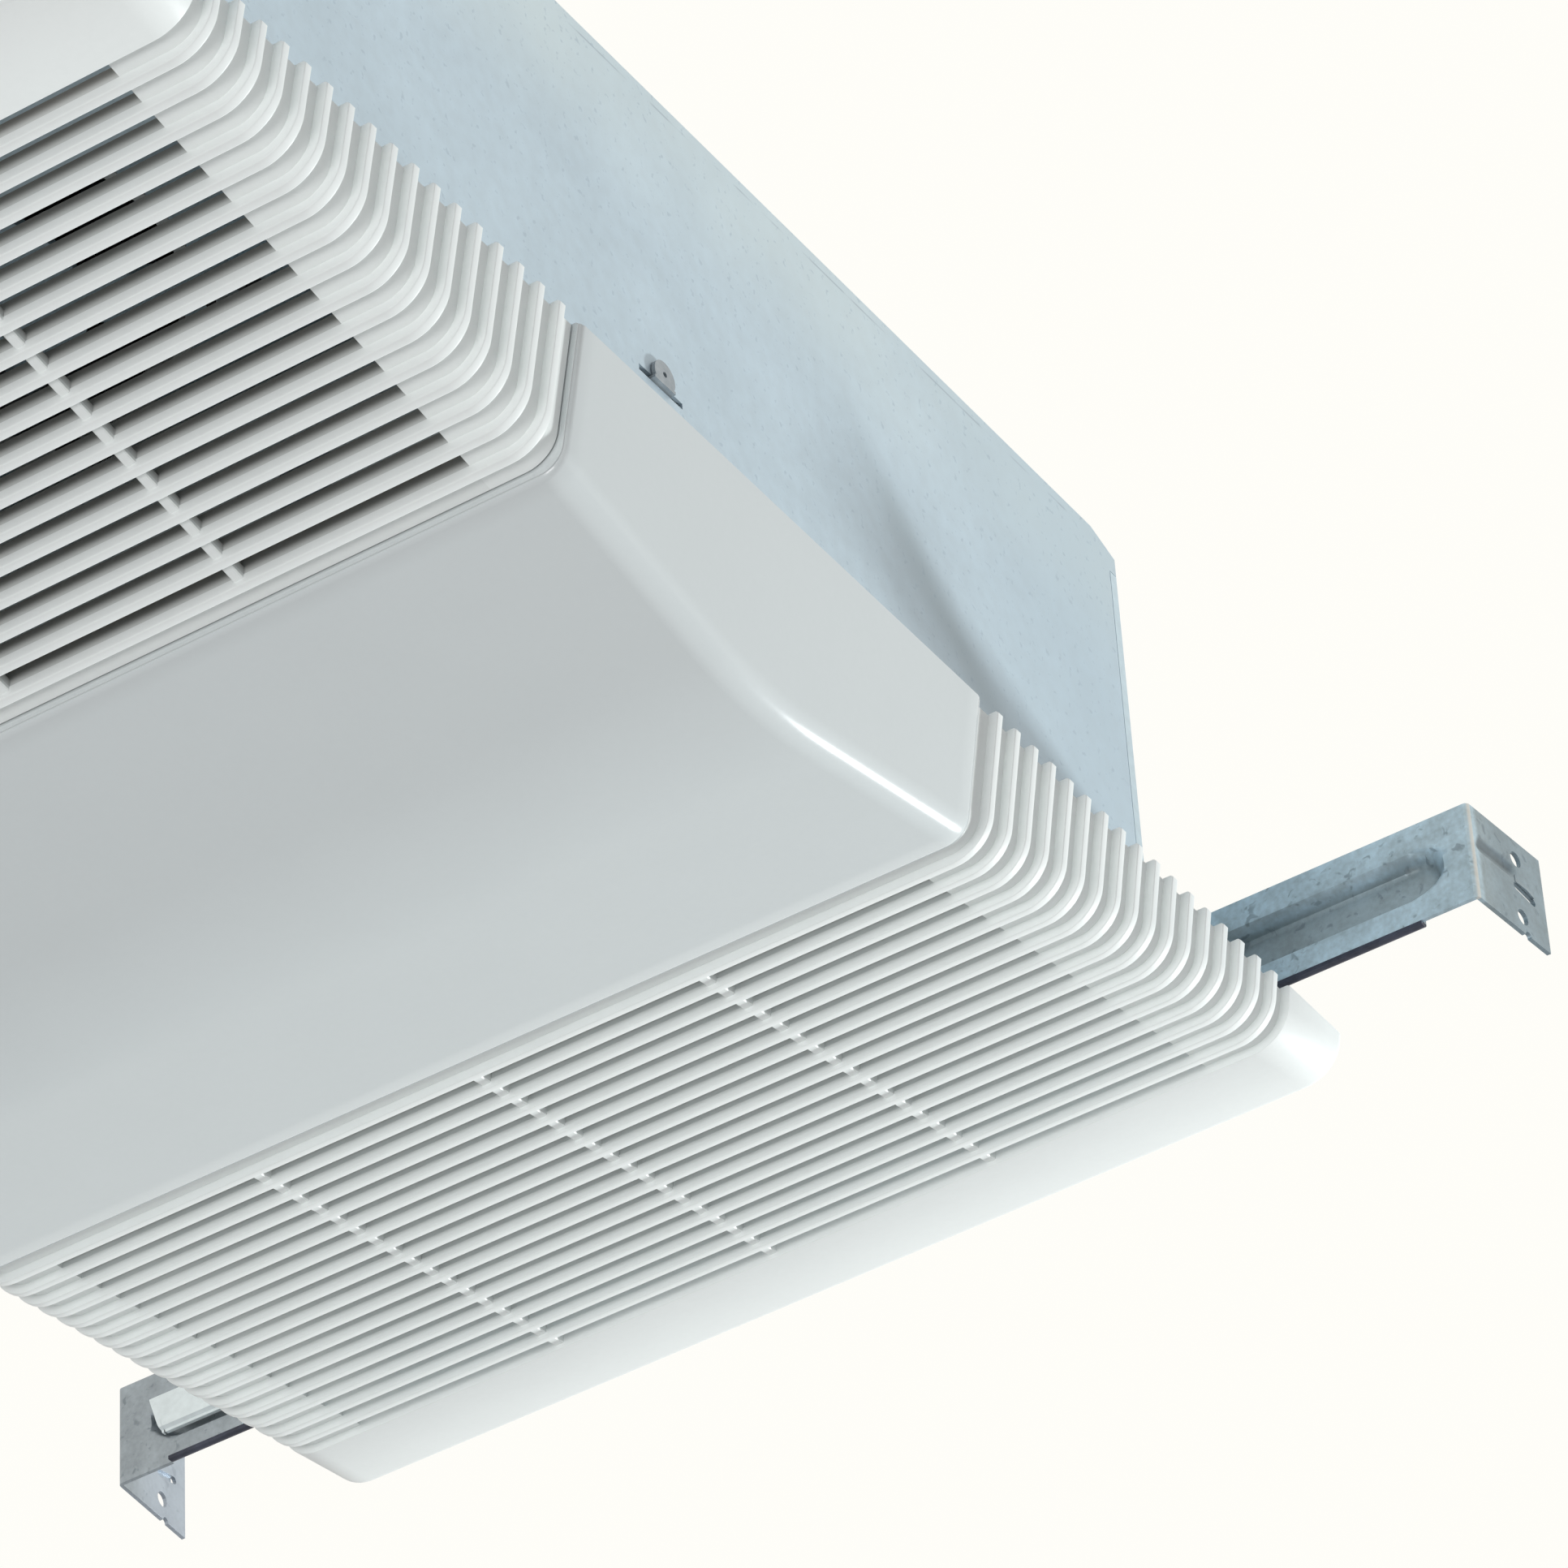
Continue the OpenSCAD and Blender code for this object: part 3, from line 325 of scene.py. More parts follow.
def add_bank(bm):
    """One bank of the grille at positive Y, with its frame by the lens and its end band."""
    for k in range(RIB_COUNT):
        add_rib(bm, k)
        y1 = rib_edges(k)[1]
        add_gap(bm, y1, y1 + RIB_PITCH - RIB_W)
    frame_y0 = LENS_Y + LENS_GAP
    frame_y1 = rib_edges(0)[0] + FRAME_LAP
    sweep_u(bm, [outer(frame_y0, FRAME_T), outer(frame_y0, FLOOR_DROP),
                 outer(frame_y1, FLOOR_DROP), outer(frame_y1, FRAME_T)])
    band_y = rib_edges(RIB_COUNT - 1)[1] + RIB_PITCH - RIB_W
    loop = [outer(band_y, UNDER_DROP), outer(band_y, EDGE_R),
            outer(band_y + 0.3 * EDGE_R, 0.3 * EDGE_R), outer(band_y + EDGE_R)]
    for k in range(BAND_STEPS + 1):
        a = math.pi / 2 * k / BAND_STEPS
        y = HALF_L - BAND_CORNER * (1 - math.sin(a))
        loop.append(outer(y, BAND_CORNER * (1 - math.cos(a))))
    loop += [outer(HALF_L, BAND_CORNER + MM), outer(HALF_L - SKIN_T, BAND_CORNER + MM)]
    sweep_u(bm, loop)
    y, half, depth, radius = outer(HALF_L - END_INSET, BAND_CORNER + MM / 2)
    u_slab(bm, HALF_L - SKIN_T, y, half, depth, radius)


def mirror_y(bm):
    """Adds the mirror image in Y of everything so far."""
    copy = bmesh.ops.duplicate(bm, geom=bm.verts[:] + bm.edges[:] + bm.faces[:])
    for element in copy["geom"]:
        if isinstance(element, bmesh.types.BMVert):
            element.co.y = -element.co.y


def lens_depth(y):
    """Depth of the lens below the rim: two slopes that meet in a round crown."""
    edge = crest(LENS_Y)
    y = abs(y)
    if y >= CROWN_Y:
        return edge + SLOPE * (LENS_Y - y)
    flank = edge + SLOPE * (LENS_Y - CROWN_Y)
    return flank + math.sqrt(CROWN_R ** 2 - y * y) - CROWN_R * math.cos(SLOPE_ANGLE)


def lens_station(y, inset=0.0):
    """Station on the lens surface, sunk by inset."""
    return (y, LENS_W - inset, lens_depth(y) - inset, max(LENS_R - inset, LEAST_BEND_R))


def make_lens():
    """Hollow lens with rounded edges and closed ends."""
    bm = bmesh.new()
    inner_y = LENS_Y - LENS_EDGE
    ys = [-inner_y + 2 * inner_y * k / LENS_STEPS for k in range(LENS_STEPS + 1)]
    loop = rounded(-LENS_Y, LENS_Y, lens_station, LENS_EDGE, LENS_T)
    half = len(loop) // 2
    middle = [lens_station(y) for y in ys[1:-1]]
    under = [lens_station(y, LENS_T) for y in reversed(ys[1:-1])]
    sweep_u(bm, loop[:half] + middle + loop[half:] + under)
    for side in (1, -1):
        y, w, d, r = lens_station(side * (LENS_Y - LENS_END_INSET), LENS_END_DROP)
        u_slab(bm, y, y - side * LENS_T, w, d, r)
    return bm


# Materials

# Colours laid over the finishes, as a colour and its strength: real pits, specks and bare zinc,
# and painted light and shade
# Painted shade deep in the grille's slots
SLOT_PAINTED_SHADE = (0.17, 0.155, 0.135), 1
ZINC_PITS = (0.13, 0.16, 0.18), 0.5
# Painted shade in the slide's bead and on its flange
BEAD_FLANGE_SHADE = (0.17, 0.18, 0.17), 0.5
# Painted highlight along the slide's bend
BEND_HIGHLIGHT = (0.8, 0.74, 0.66), 0.6
# Painted shade on the upper side of the flange's pressed groove
GROOVE_SHADE = (0.05, 0.06, 0.07), 0.62
# Painted shade on the slide's flange
FLANGE_SHADE = (0.12, 0.2, 0.28), 0.2
# Painted light on the channel's nailing flange
LIT_FLANGE_ZINC = (0.52, 0.58, 0.68), 0.4
BARE_ZINC = (0.26, 0.3, 0.33), 1
# Painted light on the upper part of the housing's side
LIT_UPPER_SHEET = (0.68, 0.76, 0.76), 1
FAR_SHEET = (0.45, 0.56, 0.64), 0.45
# Painted dark reflection across the housing's side
DARK_REFLECTION = (0.4, 0.48, 0.53), 0.75
# Painted shade along the housing's top fold
FOLD_SHADE = (0.3, 0.36, 0.42), 0.6
SHEET_SPECKS = (0.33, 0.42, 0.5), 0.4

# Painted shade of the slots: the drops where each part of it starts and is full, and its share
SHADE_EDGE_DROP = (2.2 * MM, 2.5 * MM)
SHADE_EDGE_SHARE = 0.28
DEEP_SHADE_DROP = (2.4 * MM, 5.6 * MM)
DEEP_SHADE_SHARE = 0.58
FAR_BANK_SHADE_DROP = (3.2 * MM, 4.3 * MM)
FAR_BANK_SHADE_SHARE = 0.45
BANK_Y = 60 * MM
SLOT_SOFT = 0.1 * MM

# Painted shade and a painted highlight on the sliding half; stops in fours are in millimetres,
# as band takes them
BEAD_FLANGE_SHADE_Y = (BAR_Y + 1.8 * MM, BAR_Y + 3.6 * MM)
BEND_HIGHLIGHT_STOPS = (0.1, 0.5, 0.9, 1.3)
GROOVE_X = (176 * MM, 178 * MM)
GROOVE_ALONG = (2, 3.5, 15, 18)
GROOVE_ACROSS = (-0.8, 0.4, 1.4, 2.8)

# Painted light and shade on the housing, with the painted shade under its fold, and bare zinc on
# the pan's tabs
LIT_UPPER_Z = (85 * MM, 128 * MM)
FAR_Y = (90 * MM, 180 * MM)
FOLD_Z = 131.2 * MM
FOLD_HALF = 0.45 * MM
TAB_X = (105 * MM, 106 * MM)

# Painted dark reflection across the housing's side: its line as y, z and offset, its half width,
# and the stops of its ends for band
REFLECTION_LINE = (0.653, 0.757, -0.1185)
REFLECTION_HALF = 11 * MM
REFLECTION_ENDS = (62, 105, 130, 175)

# Every finish: shares of its clouds and grain, where its dark and light colours stand on
# them, the spread of its gloss and the depth of its relief
CLOUD_SHARE = 0.6
GRAIN_SHARE = 0.4
DARK_STOP = 0.36
LIGHT_STOP = 0.64
GLOSS_SPREAD = 0.15
RELIEF_DEPTH = 0.2 * MM


def noise(tree, vector, scale, detail, distortion=0.0):
    """Noise value between zero and one, mostly near the middle."""
    tex = tree.nodes.new("ShaderNodeTexNoise")
    tex.inputs["Scale"].default_value = scale
    tex.inputs["Detail"].default_value = detail
    tex.inputs["Distortion"].default_value = distortion
    tree.links.new(vector, tex.inputs["Vector"])
    return tex.outputs["Fac"]


def math_node(tree, operation, *values):
    """One operation on sockets and numbers."""
    node = tree.nodes.new("ShaderNodeMath")
    node.operation = operation
    for socket, value in zip(node.inputs, values):
        if isinstance(value, (int, float)):
            socket.default_value = value
        else:
            tree.links.new(value, socket)
    return node.outputs["Value"]


def absolute(tree, value):
    return math_node(tree, "ABSOLUTE", value)


def product(tree, first, *others):
    """Product of sockets and numbers; a lone socket passes through."""
    for value in others:
        first = math_node(tree, "MULTIPLY", first, value)
    return first


def ramp_node(tree, factor, *stops):
    """Colour ramp through (position, colour) stops."""
    ramp = tree.nodes.new("ShaderNodeValToRGB")
    elements = ramp.color_ramp.elements
    while len(elements) < len(stops):
        elements.new(0.5)
    for element, (position, color) in zip(elements, stops):
        element.position = position
        element.color = (*color, 1)
    tree.links.new(factor, ramp.inputs["Fac"])
    return ramp.outputs["Color"]


def object_axes(tree):
    """Object coordinates as one vector, and as x, y and z."""
    vector = tree.nodes.new("ShaderNodeTexCoord").outputs["Object"]
    split = tree.nodes.new("ShaderNodeSeparateXYZ")
    tree.links.new(vector, split.inputs["Vector"])
    return vector, split.outputs["X"], split.outputs["Y"], split.outputs["Z"]


def material(name, color, roughness, metallic=0.0, vary=0.05, cloud=40, grain=600,
             relief=0.05, tint=None, stretch=(1, 1, 1), **sockets):
    """Finish with broad clouds, a fine grain, uneven gloss and a slight relief."""
    mat = bpy.data.materials.new(name)
    mat.use_nodes = True
    tree = mat.node_tree
    bsdf = tree.nodes["Principled BSDF"]
    coords = tree.nodes.new("ShaderNodeTexCoord")
    mapping = tree.nodes.new("ShaderNodeMapping")
    mapping.inputs["Scale"].default_value = stretch
    tree.links.new(coords.outputs["Object"], mapping.inputs["Vector"])
    broad = noise(tree, mapping.outputs["Vector"], cloud, 5)
    fine = noise(tree, mapping.outputs["Vector"], grain, 3)
    both = math_node(tree, "ADD", product(tree, broad, CLOUD_SHARE),
                     product(tree, fine, GRAIN_SHARE))
    dark = [c * (1 - vary) for c in (tint or color)]
    light = [min(c * (1 + vary), 1.0) for c in color]
    shade = ramp_node(tree, both, (DARK_STOP, dark), (LIGHT_STOP, light))
    tree.links.new(shade, bsdf.inputs["Base Color"])
    gloss = tree.nodes.new("ShaderNodeMapRange")
    gloss.inputs["To Min"].default_value = roughness * (1 - GLOSS_SPREAD)
    gloss.inputs["To Max"].default_value = min(roughness * (1 + GLOSS_SPREAD), 1.0)
    tree.links.new(fine, gloss.inputs["Value"])
    tree.links.new(gloss.outputs["Result"], bsdf.inputs["Roughness"])
    bump = tree.nodes.new("ShaderNodeBump")
    bump.inputs["Strength"].default_value = relief
    bump.inputs["Distance"].default_value = RELIEF_DEPTH
    tree.links.new(fine, bump.inputs["Height"])
    tree.links.new(bump.outputs["Normal"], bsdf.inputs["Normal"])
    bsdf.inputs["Metallic"].default_value = metallic
    for key, value in sockets.items():
        bsdf.inputs[key.replace("_", " ")].default_value = value
    return mat


def fade(tree, value, start, end):
    """Smooth step from zero at start to one at end."""
    node = tree.nodes.new("ShaderNodeMapRange")
    node.interpolation_type = "SMOOTHSTEP"
    node.inputs["From Min"].default_value = start
    node.inputs["From Max"].default_value = end
    tree.links.new(value, node.inputs["Value"])
    return node.outputs["Result"]


def band(tree, value, base, start, full, fall, end):
    """One from full to fall, zero before start and past end; millimetres from base."""
    rise = fade(tree, value, base + start * MM, base + full * MM)
    return product(tree, rise, fade(tree, value, base + end * MM, base + fall * MM))


def paint_wear_and_light(mat, overlay, *factors):
    """Lays a colour over a material's own colour, as strongly as the factors' product says: real
    pits, specks and bare zinc, and painted light and shade.
    """
    color, strength = overlay
    tree = mat.node_tree
    socket = tree.nodes["Principled BSDF"].inputs["Base Color"]
    mix = tree.nodes.new("ShaderNodeMix")
    mix.data_type = "RGBA"
    mix.inputs[7].default_value = (*color, 1)
    tree.links.new(product(tree, *factors, strength), mix.inputs["Factor"])
    tree.links.new(socket.links[0].from_socket, mix.inputs[6])
    tree.links.new(mix.outputs[2], socket)


def paint_slot_shade(mat):
    """Painted shade deep in the slots, darker in the bank under the blower, and a thin painted
    dark line deep in the other bank.
    """
    tree = mat.node_tree
    _, x, y, z = object_axes(tree)
    out = math_node(tree, "SUBTRACT", absolute(tree, y), FIRST_RIB_Y)
    surface = math_node(tree, "MULTIPLY_ADD", out, -SLOPE, CREST_DEPTH)
    deep = math_node(tree, "ADD", z, surface)
    middle = fade(tree, absolute(tree, x), SLOT_X + SLOT_SOFT, SLOT_X - SLOT_SOFT)
    shade_edge = product(tree, fade(tree, deep, *SHADE_EDGE_DROP), SHADE_EDGE_SHARE)
    deep_shade = product(tree, fade(tree, deep, *DEEP_SHADE_DROP), DEEP_SHADE_SHARE)
    blower_bank_shade = product(tree, fade(tree, y, 0, -BANK_Y), math_node(tree, "ADD", shade_edge, deep_shade))
    # Thin painted shade deep in the slots of the bank at positive y
    light = product(tree, fade(tree, y, 0, BANK_Y), fade(tree, deep, *FAR_BANK_SHADE_DROP), FAR_BANK_SHADE_SHARE)
    paint_wear_and_light(mat, SLOT_PAINTED_SHADE, middle, math_node(tree, "ADD", blower_bank_shade, light))


def pit_zinc(mat):
    """Dark pits in the zinc of a bar."""
    tree = mat.node_tree
    vector = object_axes(tree)[0]
    spots = noise(tree, vector, scale=380, detail=2, distortion=0.6)
    paint_wear_and_light(mat, ZINC_PITS, fade(tree, spots, 0.6, 0.72))


def shade_slide(mat):
    """Painted shade in the bead and on the flange, pits, a painted highlight on the bend and
    painted shade in the flange's groove.
    """
    tree = mat.node_tree
    _, x, y, z = object_axes(tree)
    x = absolute(tree, x)
    y = absolute(tree, y)
    # Painted shade: darker in the bead and on the flange
    paint_wear_and_light(mat, BEAD_FLANGE_SHADE, fade(tree, y, *BEAD_FLANGE_SHADE_Y))
    pit_zinc(mat)
    bend_x = slide_high.x - SPLAY - BEND
    on_bend = fade(tree, x, bend_x - 0.2 * MM, bend_x + 0.6 * MM)
    # Painted highlight on the bend
    paint_wear_and_light(mat, BEND_HIGHLIGHT, band(tree, y, BAR_Y, *BEND_HIGHLIGHT_STOPS), on_bend)
    along = band(tree, y, BAR_Y, *GROOVE_ALONG)
    across = band(tree, z, CREASE_Z, *GROOVE_ACROSS)
    # Painted shade in the flange's groove
    paint_wear_and_light(mat, GROOVE_SHADE, fade(tree, x, *GROOVE_X), along, across)
    # Painted shade past the bend, on the flange
    paint_wear_and_light(mat, FLANGE_SHADE, fade(tree, x, bend_x + 1.2 * MM, bend_x + 2 * MM))


def paint_lit_flange(mat):
    """Painted light: the channel's nailing flange lighter than its web."""
    tree = mat.node_tree
    x = absolute(tree, object_axes(tree)[1])
    flange_start = -channel_low.x - SPLAY
    paint_wear_and_light(mat, LIT_FLANGE_ZINC, fade(tree, x, flange_start - MM, flange_start + 0.2 * MM))


def bare_tabs(mat):
    """Bare zinc on the pan's tabs, where they pass through the housing's sides."""
    tree = mat.node_tree
    vector, x, _, _ = object_axes(tree)
    grain = noise(tree, vector, scale=500, detail=3)
    uneven = math_node(tree, "MULTIPLY_ADD", grain, 0.4, 0.7)
    paint_wear_and_light(mat, BARE_ZINC, fade(tree, absolute(tree, x), *TAB_X), uneven)


def paint_housing_light_shade_and_specks(mat):
    """Painted light on the upper part, a darker far end, a painted dark reflection, painted
    shade in dashes along the fold, and specks.
    """
    tree = mat.node_tree
    vector, _, y, z = object_axes(tree)
    cloud = noise(tree, vector, scale=14, detail=2)
    # Painted light, lighter towards the top, in clouds
    paint_wear_and_light(mat, LIT_UPPER_SHEET, fade(tree, z, *LIT_UPPER_Z), cloud)
    paint_wear_and_light(mat, FAR_SHEET, fade(tree, y, *FAR_Y))
    # Painted dark reflection along a slanting line
    across = math_node(tree, "MULTIPLY_ADD", z, REFLECTION_LINE[1], REFLECTION_LINE[2])
    across = math_node(tree, "MULTIPLY_ADD", y, REFLECTION_LINE[0], across)
    near = fade(tree, absolute(tree, across), REFLECTION_HALF, 0)
    paint_wear_and_light(mat, DARK_REFLECTION, near, band(tree, y, 0, *REFLECTION_ENDS))
    # Painted shade along the fold, in dashes
    line = fade(tree, absolute(tree, math_node(tree, "SUBTRACT", z, FOLD_Z)), FOLD_HALF, 0)
    dashes = noise(tree, vector, scale=75, detail=2)
    paint_wear_and_light(mat, FOLD_SHADE, line, fade(tree, dashes, 0.46, 0.6))
    specks = noise(tree, vector, scale=520, detail=2)
    paint_wear_and_light(mat, SHEET_SPECKS, fade(tree, specks, 0.6, 0.74))


white_plastic = material("white_plastic", (0.86, 0.885, 0.875), 0.38, vary=0.012, relief=0.02,
                         Specular_IOR_Level=0.36)
# Paints shade deep in the grille's slots
paint_slot_shade(white_plastic)
lens_plastic = material("milky_lens", (0.647, 0.682, 0.688), 0.2, vary=0.008, relief=0.008)
galvanised = material("galvanised", (0.57, 0.68, 0.74), 0.5, 0.5, vary=0.07, cloud=22,
                      grain=420, relief=0.1)
housing_sheet = material("housing_sheet", (0.55, 0.655, 0.73), 0.5, 0.4, vary=0.07, cloud=26,
                         grain=260, relief=0.08)
paint_housing_light_shade_and_specks(housing_sheet)
slide_steel = material("slide_steel", (0.47, 0.6, 0.68), 0.42, 0.7, vary=0.13, cloud=110,
                       grain=700, relief=0.2, tint=(0.42, 0.52, 0.57))
shade_slide(slide_steel)
channel_steel = material("channel_steel", (0.36, 0.4, 0.43), 0.42, 0.7, vary=0.16, cloud=110,
                         grain=700, relief=0.2)
pit_zinc(channel_steel)
# Paints light on the channel's nailing flange
paint_lit_flange(channel_steel)
# Near white: painted light on the slide's free end, which is the slide's own zinc
lit_tongue_steel = material("lit_tongue_steel", (0.85, 0.92, 0.93), 0.35, 0.4, vary=0.06, cloud=160,
                        grain=700, relief=0.1)
# Near black: painted shade on the channel's lower lip
lip_painted_shade = material("lip_painted_shade", (0.05, 0.055, 0.08), 0.4, 0.6, vary=0.3, cloud=120,
                     grain=500, relief=0.2)
enamel = material("pan_enamel", (0.86, 0.86, 0.84), 0.25, vary=0.015, relief=0.05)
bare_tabs(enamel)

finishes = {
    "galvanised_sheet": galvanised,
    "zinc_hardware": material("zinc", (0.62, 0.64, 0.65), 0.32, 0.9, vary=0.08, cloud=200,
                              grain=900, relief=0.08),
    "spring_steel": material("spring_wire", (0.5, 0.51, 0.53), 0.25, 0.95, vary=0.08, cloud=250,
                             grain=900, relief=0.1),
    "white_grille_plastic": white_plastic,
    "lens_plastic": lens_plastic,
    "collar_plastic": material("collar_plastic", (0.6, 0.61, 0.6), 0.5, vary=0.03, relief=0.06),
    "flap_plastic": material("black_plastic", (0.035, 0.036, 0.04), 0.45, vary=0.12,
                             relief=0.15),
    "wheel_plastic": material("wheel_plastic", (0.06, 0.063, 0.07), 0.5, vary=0.12, relief=0.1),
    "motor_can": material("motor_paint", (0.035, 0.035, 0.038), 0.35, 0.4, vary=0.15,
                          relief=0.2),
    "motor_iron": material("motor_iron", (0.18, 0.17, 0.165), 0.55, 0.7, vary=0.12, cloud=90,
                           grain=900, relief=0.3, stretch=(1, 1, 8)),
    "grommet_rubber": material("grommet_rubber", (0.02, 0.02, 0.02), 0.7, vary=0.2, relief=0.2),
    "white_pan_enamel": enamel,
    "socket_porcelain": material("porcelain", (0.82, 0.8, 0.74), 0.2, vary=0.03, cloud=90,
                                 relief=0.04),
    "lamp_glass": material("lamp_glass", (0.9, 0.9, 0.88), 0.32, vary=0.01, relief=0.01,
                           Transmission_Weight=0.4),
    "lamp_cap_brass": material("lamp_cap", (0.75, 0.68, 0.5), 0.3, 0.9, vary=0.08, cloud=180,
                               relief=0.08),
    "white_device_plastic": material("white_device", (0.8, 0.8, 0.78), 0.3, vary=0.02,
                                     relief=0.03),
    "brown_device_plastic": material("brown_device", (0.09, 0.045, 0.025), 0.3, vary=0.1,
                                     relief=0.05),
    "lead_sleeve": material("lead_sleeve", (0.025, 0.025, 0.025), 0.5, vary=0.15, relief=0.1),
    "green_screw": material("green_paint", (0.02, 0.16, 0.05), 0.3, 0.5, vary=0.1, cloud=200),
}
for part in frame["record"]["subparts"]:
    mesh = frame["nodes"][part["node"]].data
    is_shell = part["node"] == "housing_shell"
    mesh.materials.clear()
    mesh.materials.append(housing_sheet if is_shell else finishes[part["material_slot"]])
    mesh.shade_smooth()
    mesh.set_sharp_from_angle(angle=math.radians(30))


# Grille and lens

def place(obj, body, slot, *nodes):
    """Rides a piece on its body and hides the CAD nodes it stands for."""
    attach(obj, body)
    if nodes:
        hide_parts(*nodes)


grille_bm = bmesh.new()
add_bank(grille_bm)
mirror_y(grille_bm)
rail_x = HALF_W - RIB_H - RAIL_IN
for side in (1, -1):
    add_faces(grille_bm, box_rings(side * rail_x, side * (rail_x + RAIL_W),
                                   -LENS_Y - MM, LENS_Y + MM, *RAIL_Z))
place(finish_mesh("grille_moulding", grille_bm, white_plastic), "grille",
      "white_grille_plastic", "grille")
place(finish_mesh("lens_cover", make_lens(), lens_plastic, 50), "grille", "lens_plastic", "lens")


# Hanger bars

def smooth_step(t):
    """Smooth rise from zero to one, level outside."""
    t = min(max(t, 0.0), 1.0)
    return t * t * (3 - 2 * t)


def way_out(end_x):
    """The side that a flange is on, as one or minus one."""
    return 1 if end_x > 0 else -1


def spread(*stops):
    """Positions from (value, count) stops, evenly spaced between neighbours."""
    places = [stops[0][0]]
    for (a, _), (b, count) in zip(stops, stops[1:]):
        places += [a + (b - a) * k / count for k in range(1, count + 1)]
    return places


def bead(x, z, x0, x1, half, depth):
    """Depth of a pressed bead with long round ends."""
    dx = max(x0 - x, x - x1, 0.0) * BEAD_END
    away = math.hypot(dx, z - BEAD_Z)
    return depth * smooth_step((half - away) / BEAD_FLANK)


def crease(reach, z):
    """Depth of the groove pressed in a nailing flange, from the bend to the nail slot."""
    start, end = CREASE_REACH
    away = math.hypot(max(start - reach, reach - end, 0.0), z - CREASE_Z)
    return CREASE_DEPTH * smooth_step(1 - away / CREASE_FLANK)


def add_sheet(bm, front, back):
    """Closed sheet between two grids of points."""
    f, b = [[[bm.verts.new(p) for p in row] for row in grid] for grid in (front, back)]
    rows, columns = len(f), len(f[0])
    for i in range(rows - 1):
        for j in range(columns - 1):
            bm.faces.new((f[i][j], f[i + 1][j], f[i + 1][j + 1], f[i][j + 1]))
            bm.faces.new((b[i][j], b[i][j + 1], b[i + 1][j + 1], b[i + 1][j]))
    for i in range(rows - 1):
        bm.faces.new((f[i][0], b[i][0], b[i + 1][0], f[i + 1][0]))
        bm.faces.new((f[i][-1], f[i + 1][-1], b[i + 1][-1], b[i][-1]))
    for j in range(columns - 1):
        bm.faces.new((f[0][j], f[0][j + 1], b[0][j + 1], b[0][j]))
        bm.faces.new((f[-1][j], b[-1][j], b[-1][j + 1], f[-1][j + 1]))


def add_web(bm, xs, y, edge, end_x, full_x, end_low, press):
    """Web with a pressed bead, bent at the end into the nailing flange.

    It stays edge short of the bar's low and top up to full_x, and past that it runs from
    end_low to the bar's top.
    """
    way = way_out(end_x)
    path = [((x, y), (0, 1)) for x in xs]
    bend_x = end_x - way * SPLAY
    centre = (bend_x - way * BEND, y + BEND)
    path += [((centre[0] + way * BEND * math.sin(a), centre[1] - BEND * math.cos(a)),
              (-way * math.sin(a), math.cos(a))) for a in BEND_ARC]
    path += [((bend_x + way * SPLAY * (reach - BEND) / (FLANGE - BEND), y + reach), (-way, 0))
             for reach in spread((BEND, 0), (FLANGE, FLANGE_ROWS))[1:]]
    front, back = [], []
    for (x, base_y), (nx, ny) in path:
        past = way * x > full_x
        low, high = (end_low, BAR_TOP) if past else (BAR_LOW + edge, BAR_TOP - edge)
        rows = [low + (high - low) * k / WEB_ROWS for k in range(WEB_ROWS + 1)]
        on_web = ny > 0.9
        pressed = [bead(x, z, *press) if on_web else crease(base_y - y, z) for z in rows]
        front.append([(x + nx * d, base_y + ny * d, z) for z, d in zip(rows, pressed)])
        back.append([(x + nx * (d + BAR_T), base_y + ny * (d + BAR_T), z)
                     for z, d in zip(rows, pressed)])
    add_sheet(bm, front, back)


def add_lip(bm, x0, x1, y, z, reach):
    """One lip of the channel, folded over towards the housing."""
    way = 1 if z < BEAD_Z else -1
    outside = [(y - reach, z), (y - LIP_FLAT, z)]
    outside += [(y + BAR_T * math.sin(a), z + way * BAR_T * (1 - math.cos(a))) for a in LIP_ARC]
    inside = [(y - reach, z + way * BAR_T), (y - LIP_FLAT, z + way * BAR_T)]
    inside += [(y + LIP_INSIDE_R * math.sin(a), z + way * BAR_T) for a in LIP_ARC]
    xs = spread((x0, 0), (x1, 6))
    front = [[(x, py, pz) for py, pz in outside] for x in xs]
    back = [[(x, py, pz) for py, pz in inside] for x in xs]
    add_sheet(bm, front, back)


def cut_holes(obj, cutters):
    """Takes closed cutter meshes out of a piece and leaves no modifier behind."""
    for cutter in cutters:
        modifier = obj.modifiers.new("cut", "BOOLEAN")
        modifier.operation = "DIFFERENCE"
        modifier.solver = "EXACT"
        modifier.object = cutter
    graph = bpy.context.evaluated_depsgraph_get()
    mesh = bpy.data.meshes.new_from_object(obj.evaluated_get(graph))
    obj.modifiers.clear()
    obj.data = mesh
    for cutter in cutters:
        bpy.data.objects.remove(cutter)


def cutter_prism(points, low, high):
    """Closed cutter with its outline in y and z, run along x from low to high."""
    bm = bmesh.new()
    add_faces(bm, [[Vector((x, y, z)) for y, z in points] for x in (low, high)])
    return new_object("cutter", bm)


def circle(cy, cz, radius):
    """Round outline about (cy, cz)."""
    turns = [2 * math.pi * k / CIRCLE_STEPS for k in range(CIRCLE_STEPS)]
    return [(cy + radius * math.cos(a), cz + radius * math.sin(a)) for a in turns]


def slot_points(cy, cz, half_l, half_w, lean):
    """Slot with round ends, leaning by an angle."""
    points = []
    for way in (1, -1):
        for k in range(ROUND_STEPS + 1):
            a = math.pi * k / ROUND_STEPS - math.pi / 2
            y = way * (half_l + half_w * math.cos(a))
            z = way * half_w * math.sin(a)
            points.append((cy + y * math.cos(lean) - z * math.sin(lean),
                           cz + y * math.sin(lean) + z * math.cos(lean)))
    return points


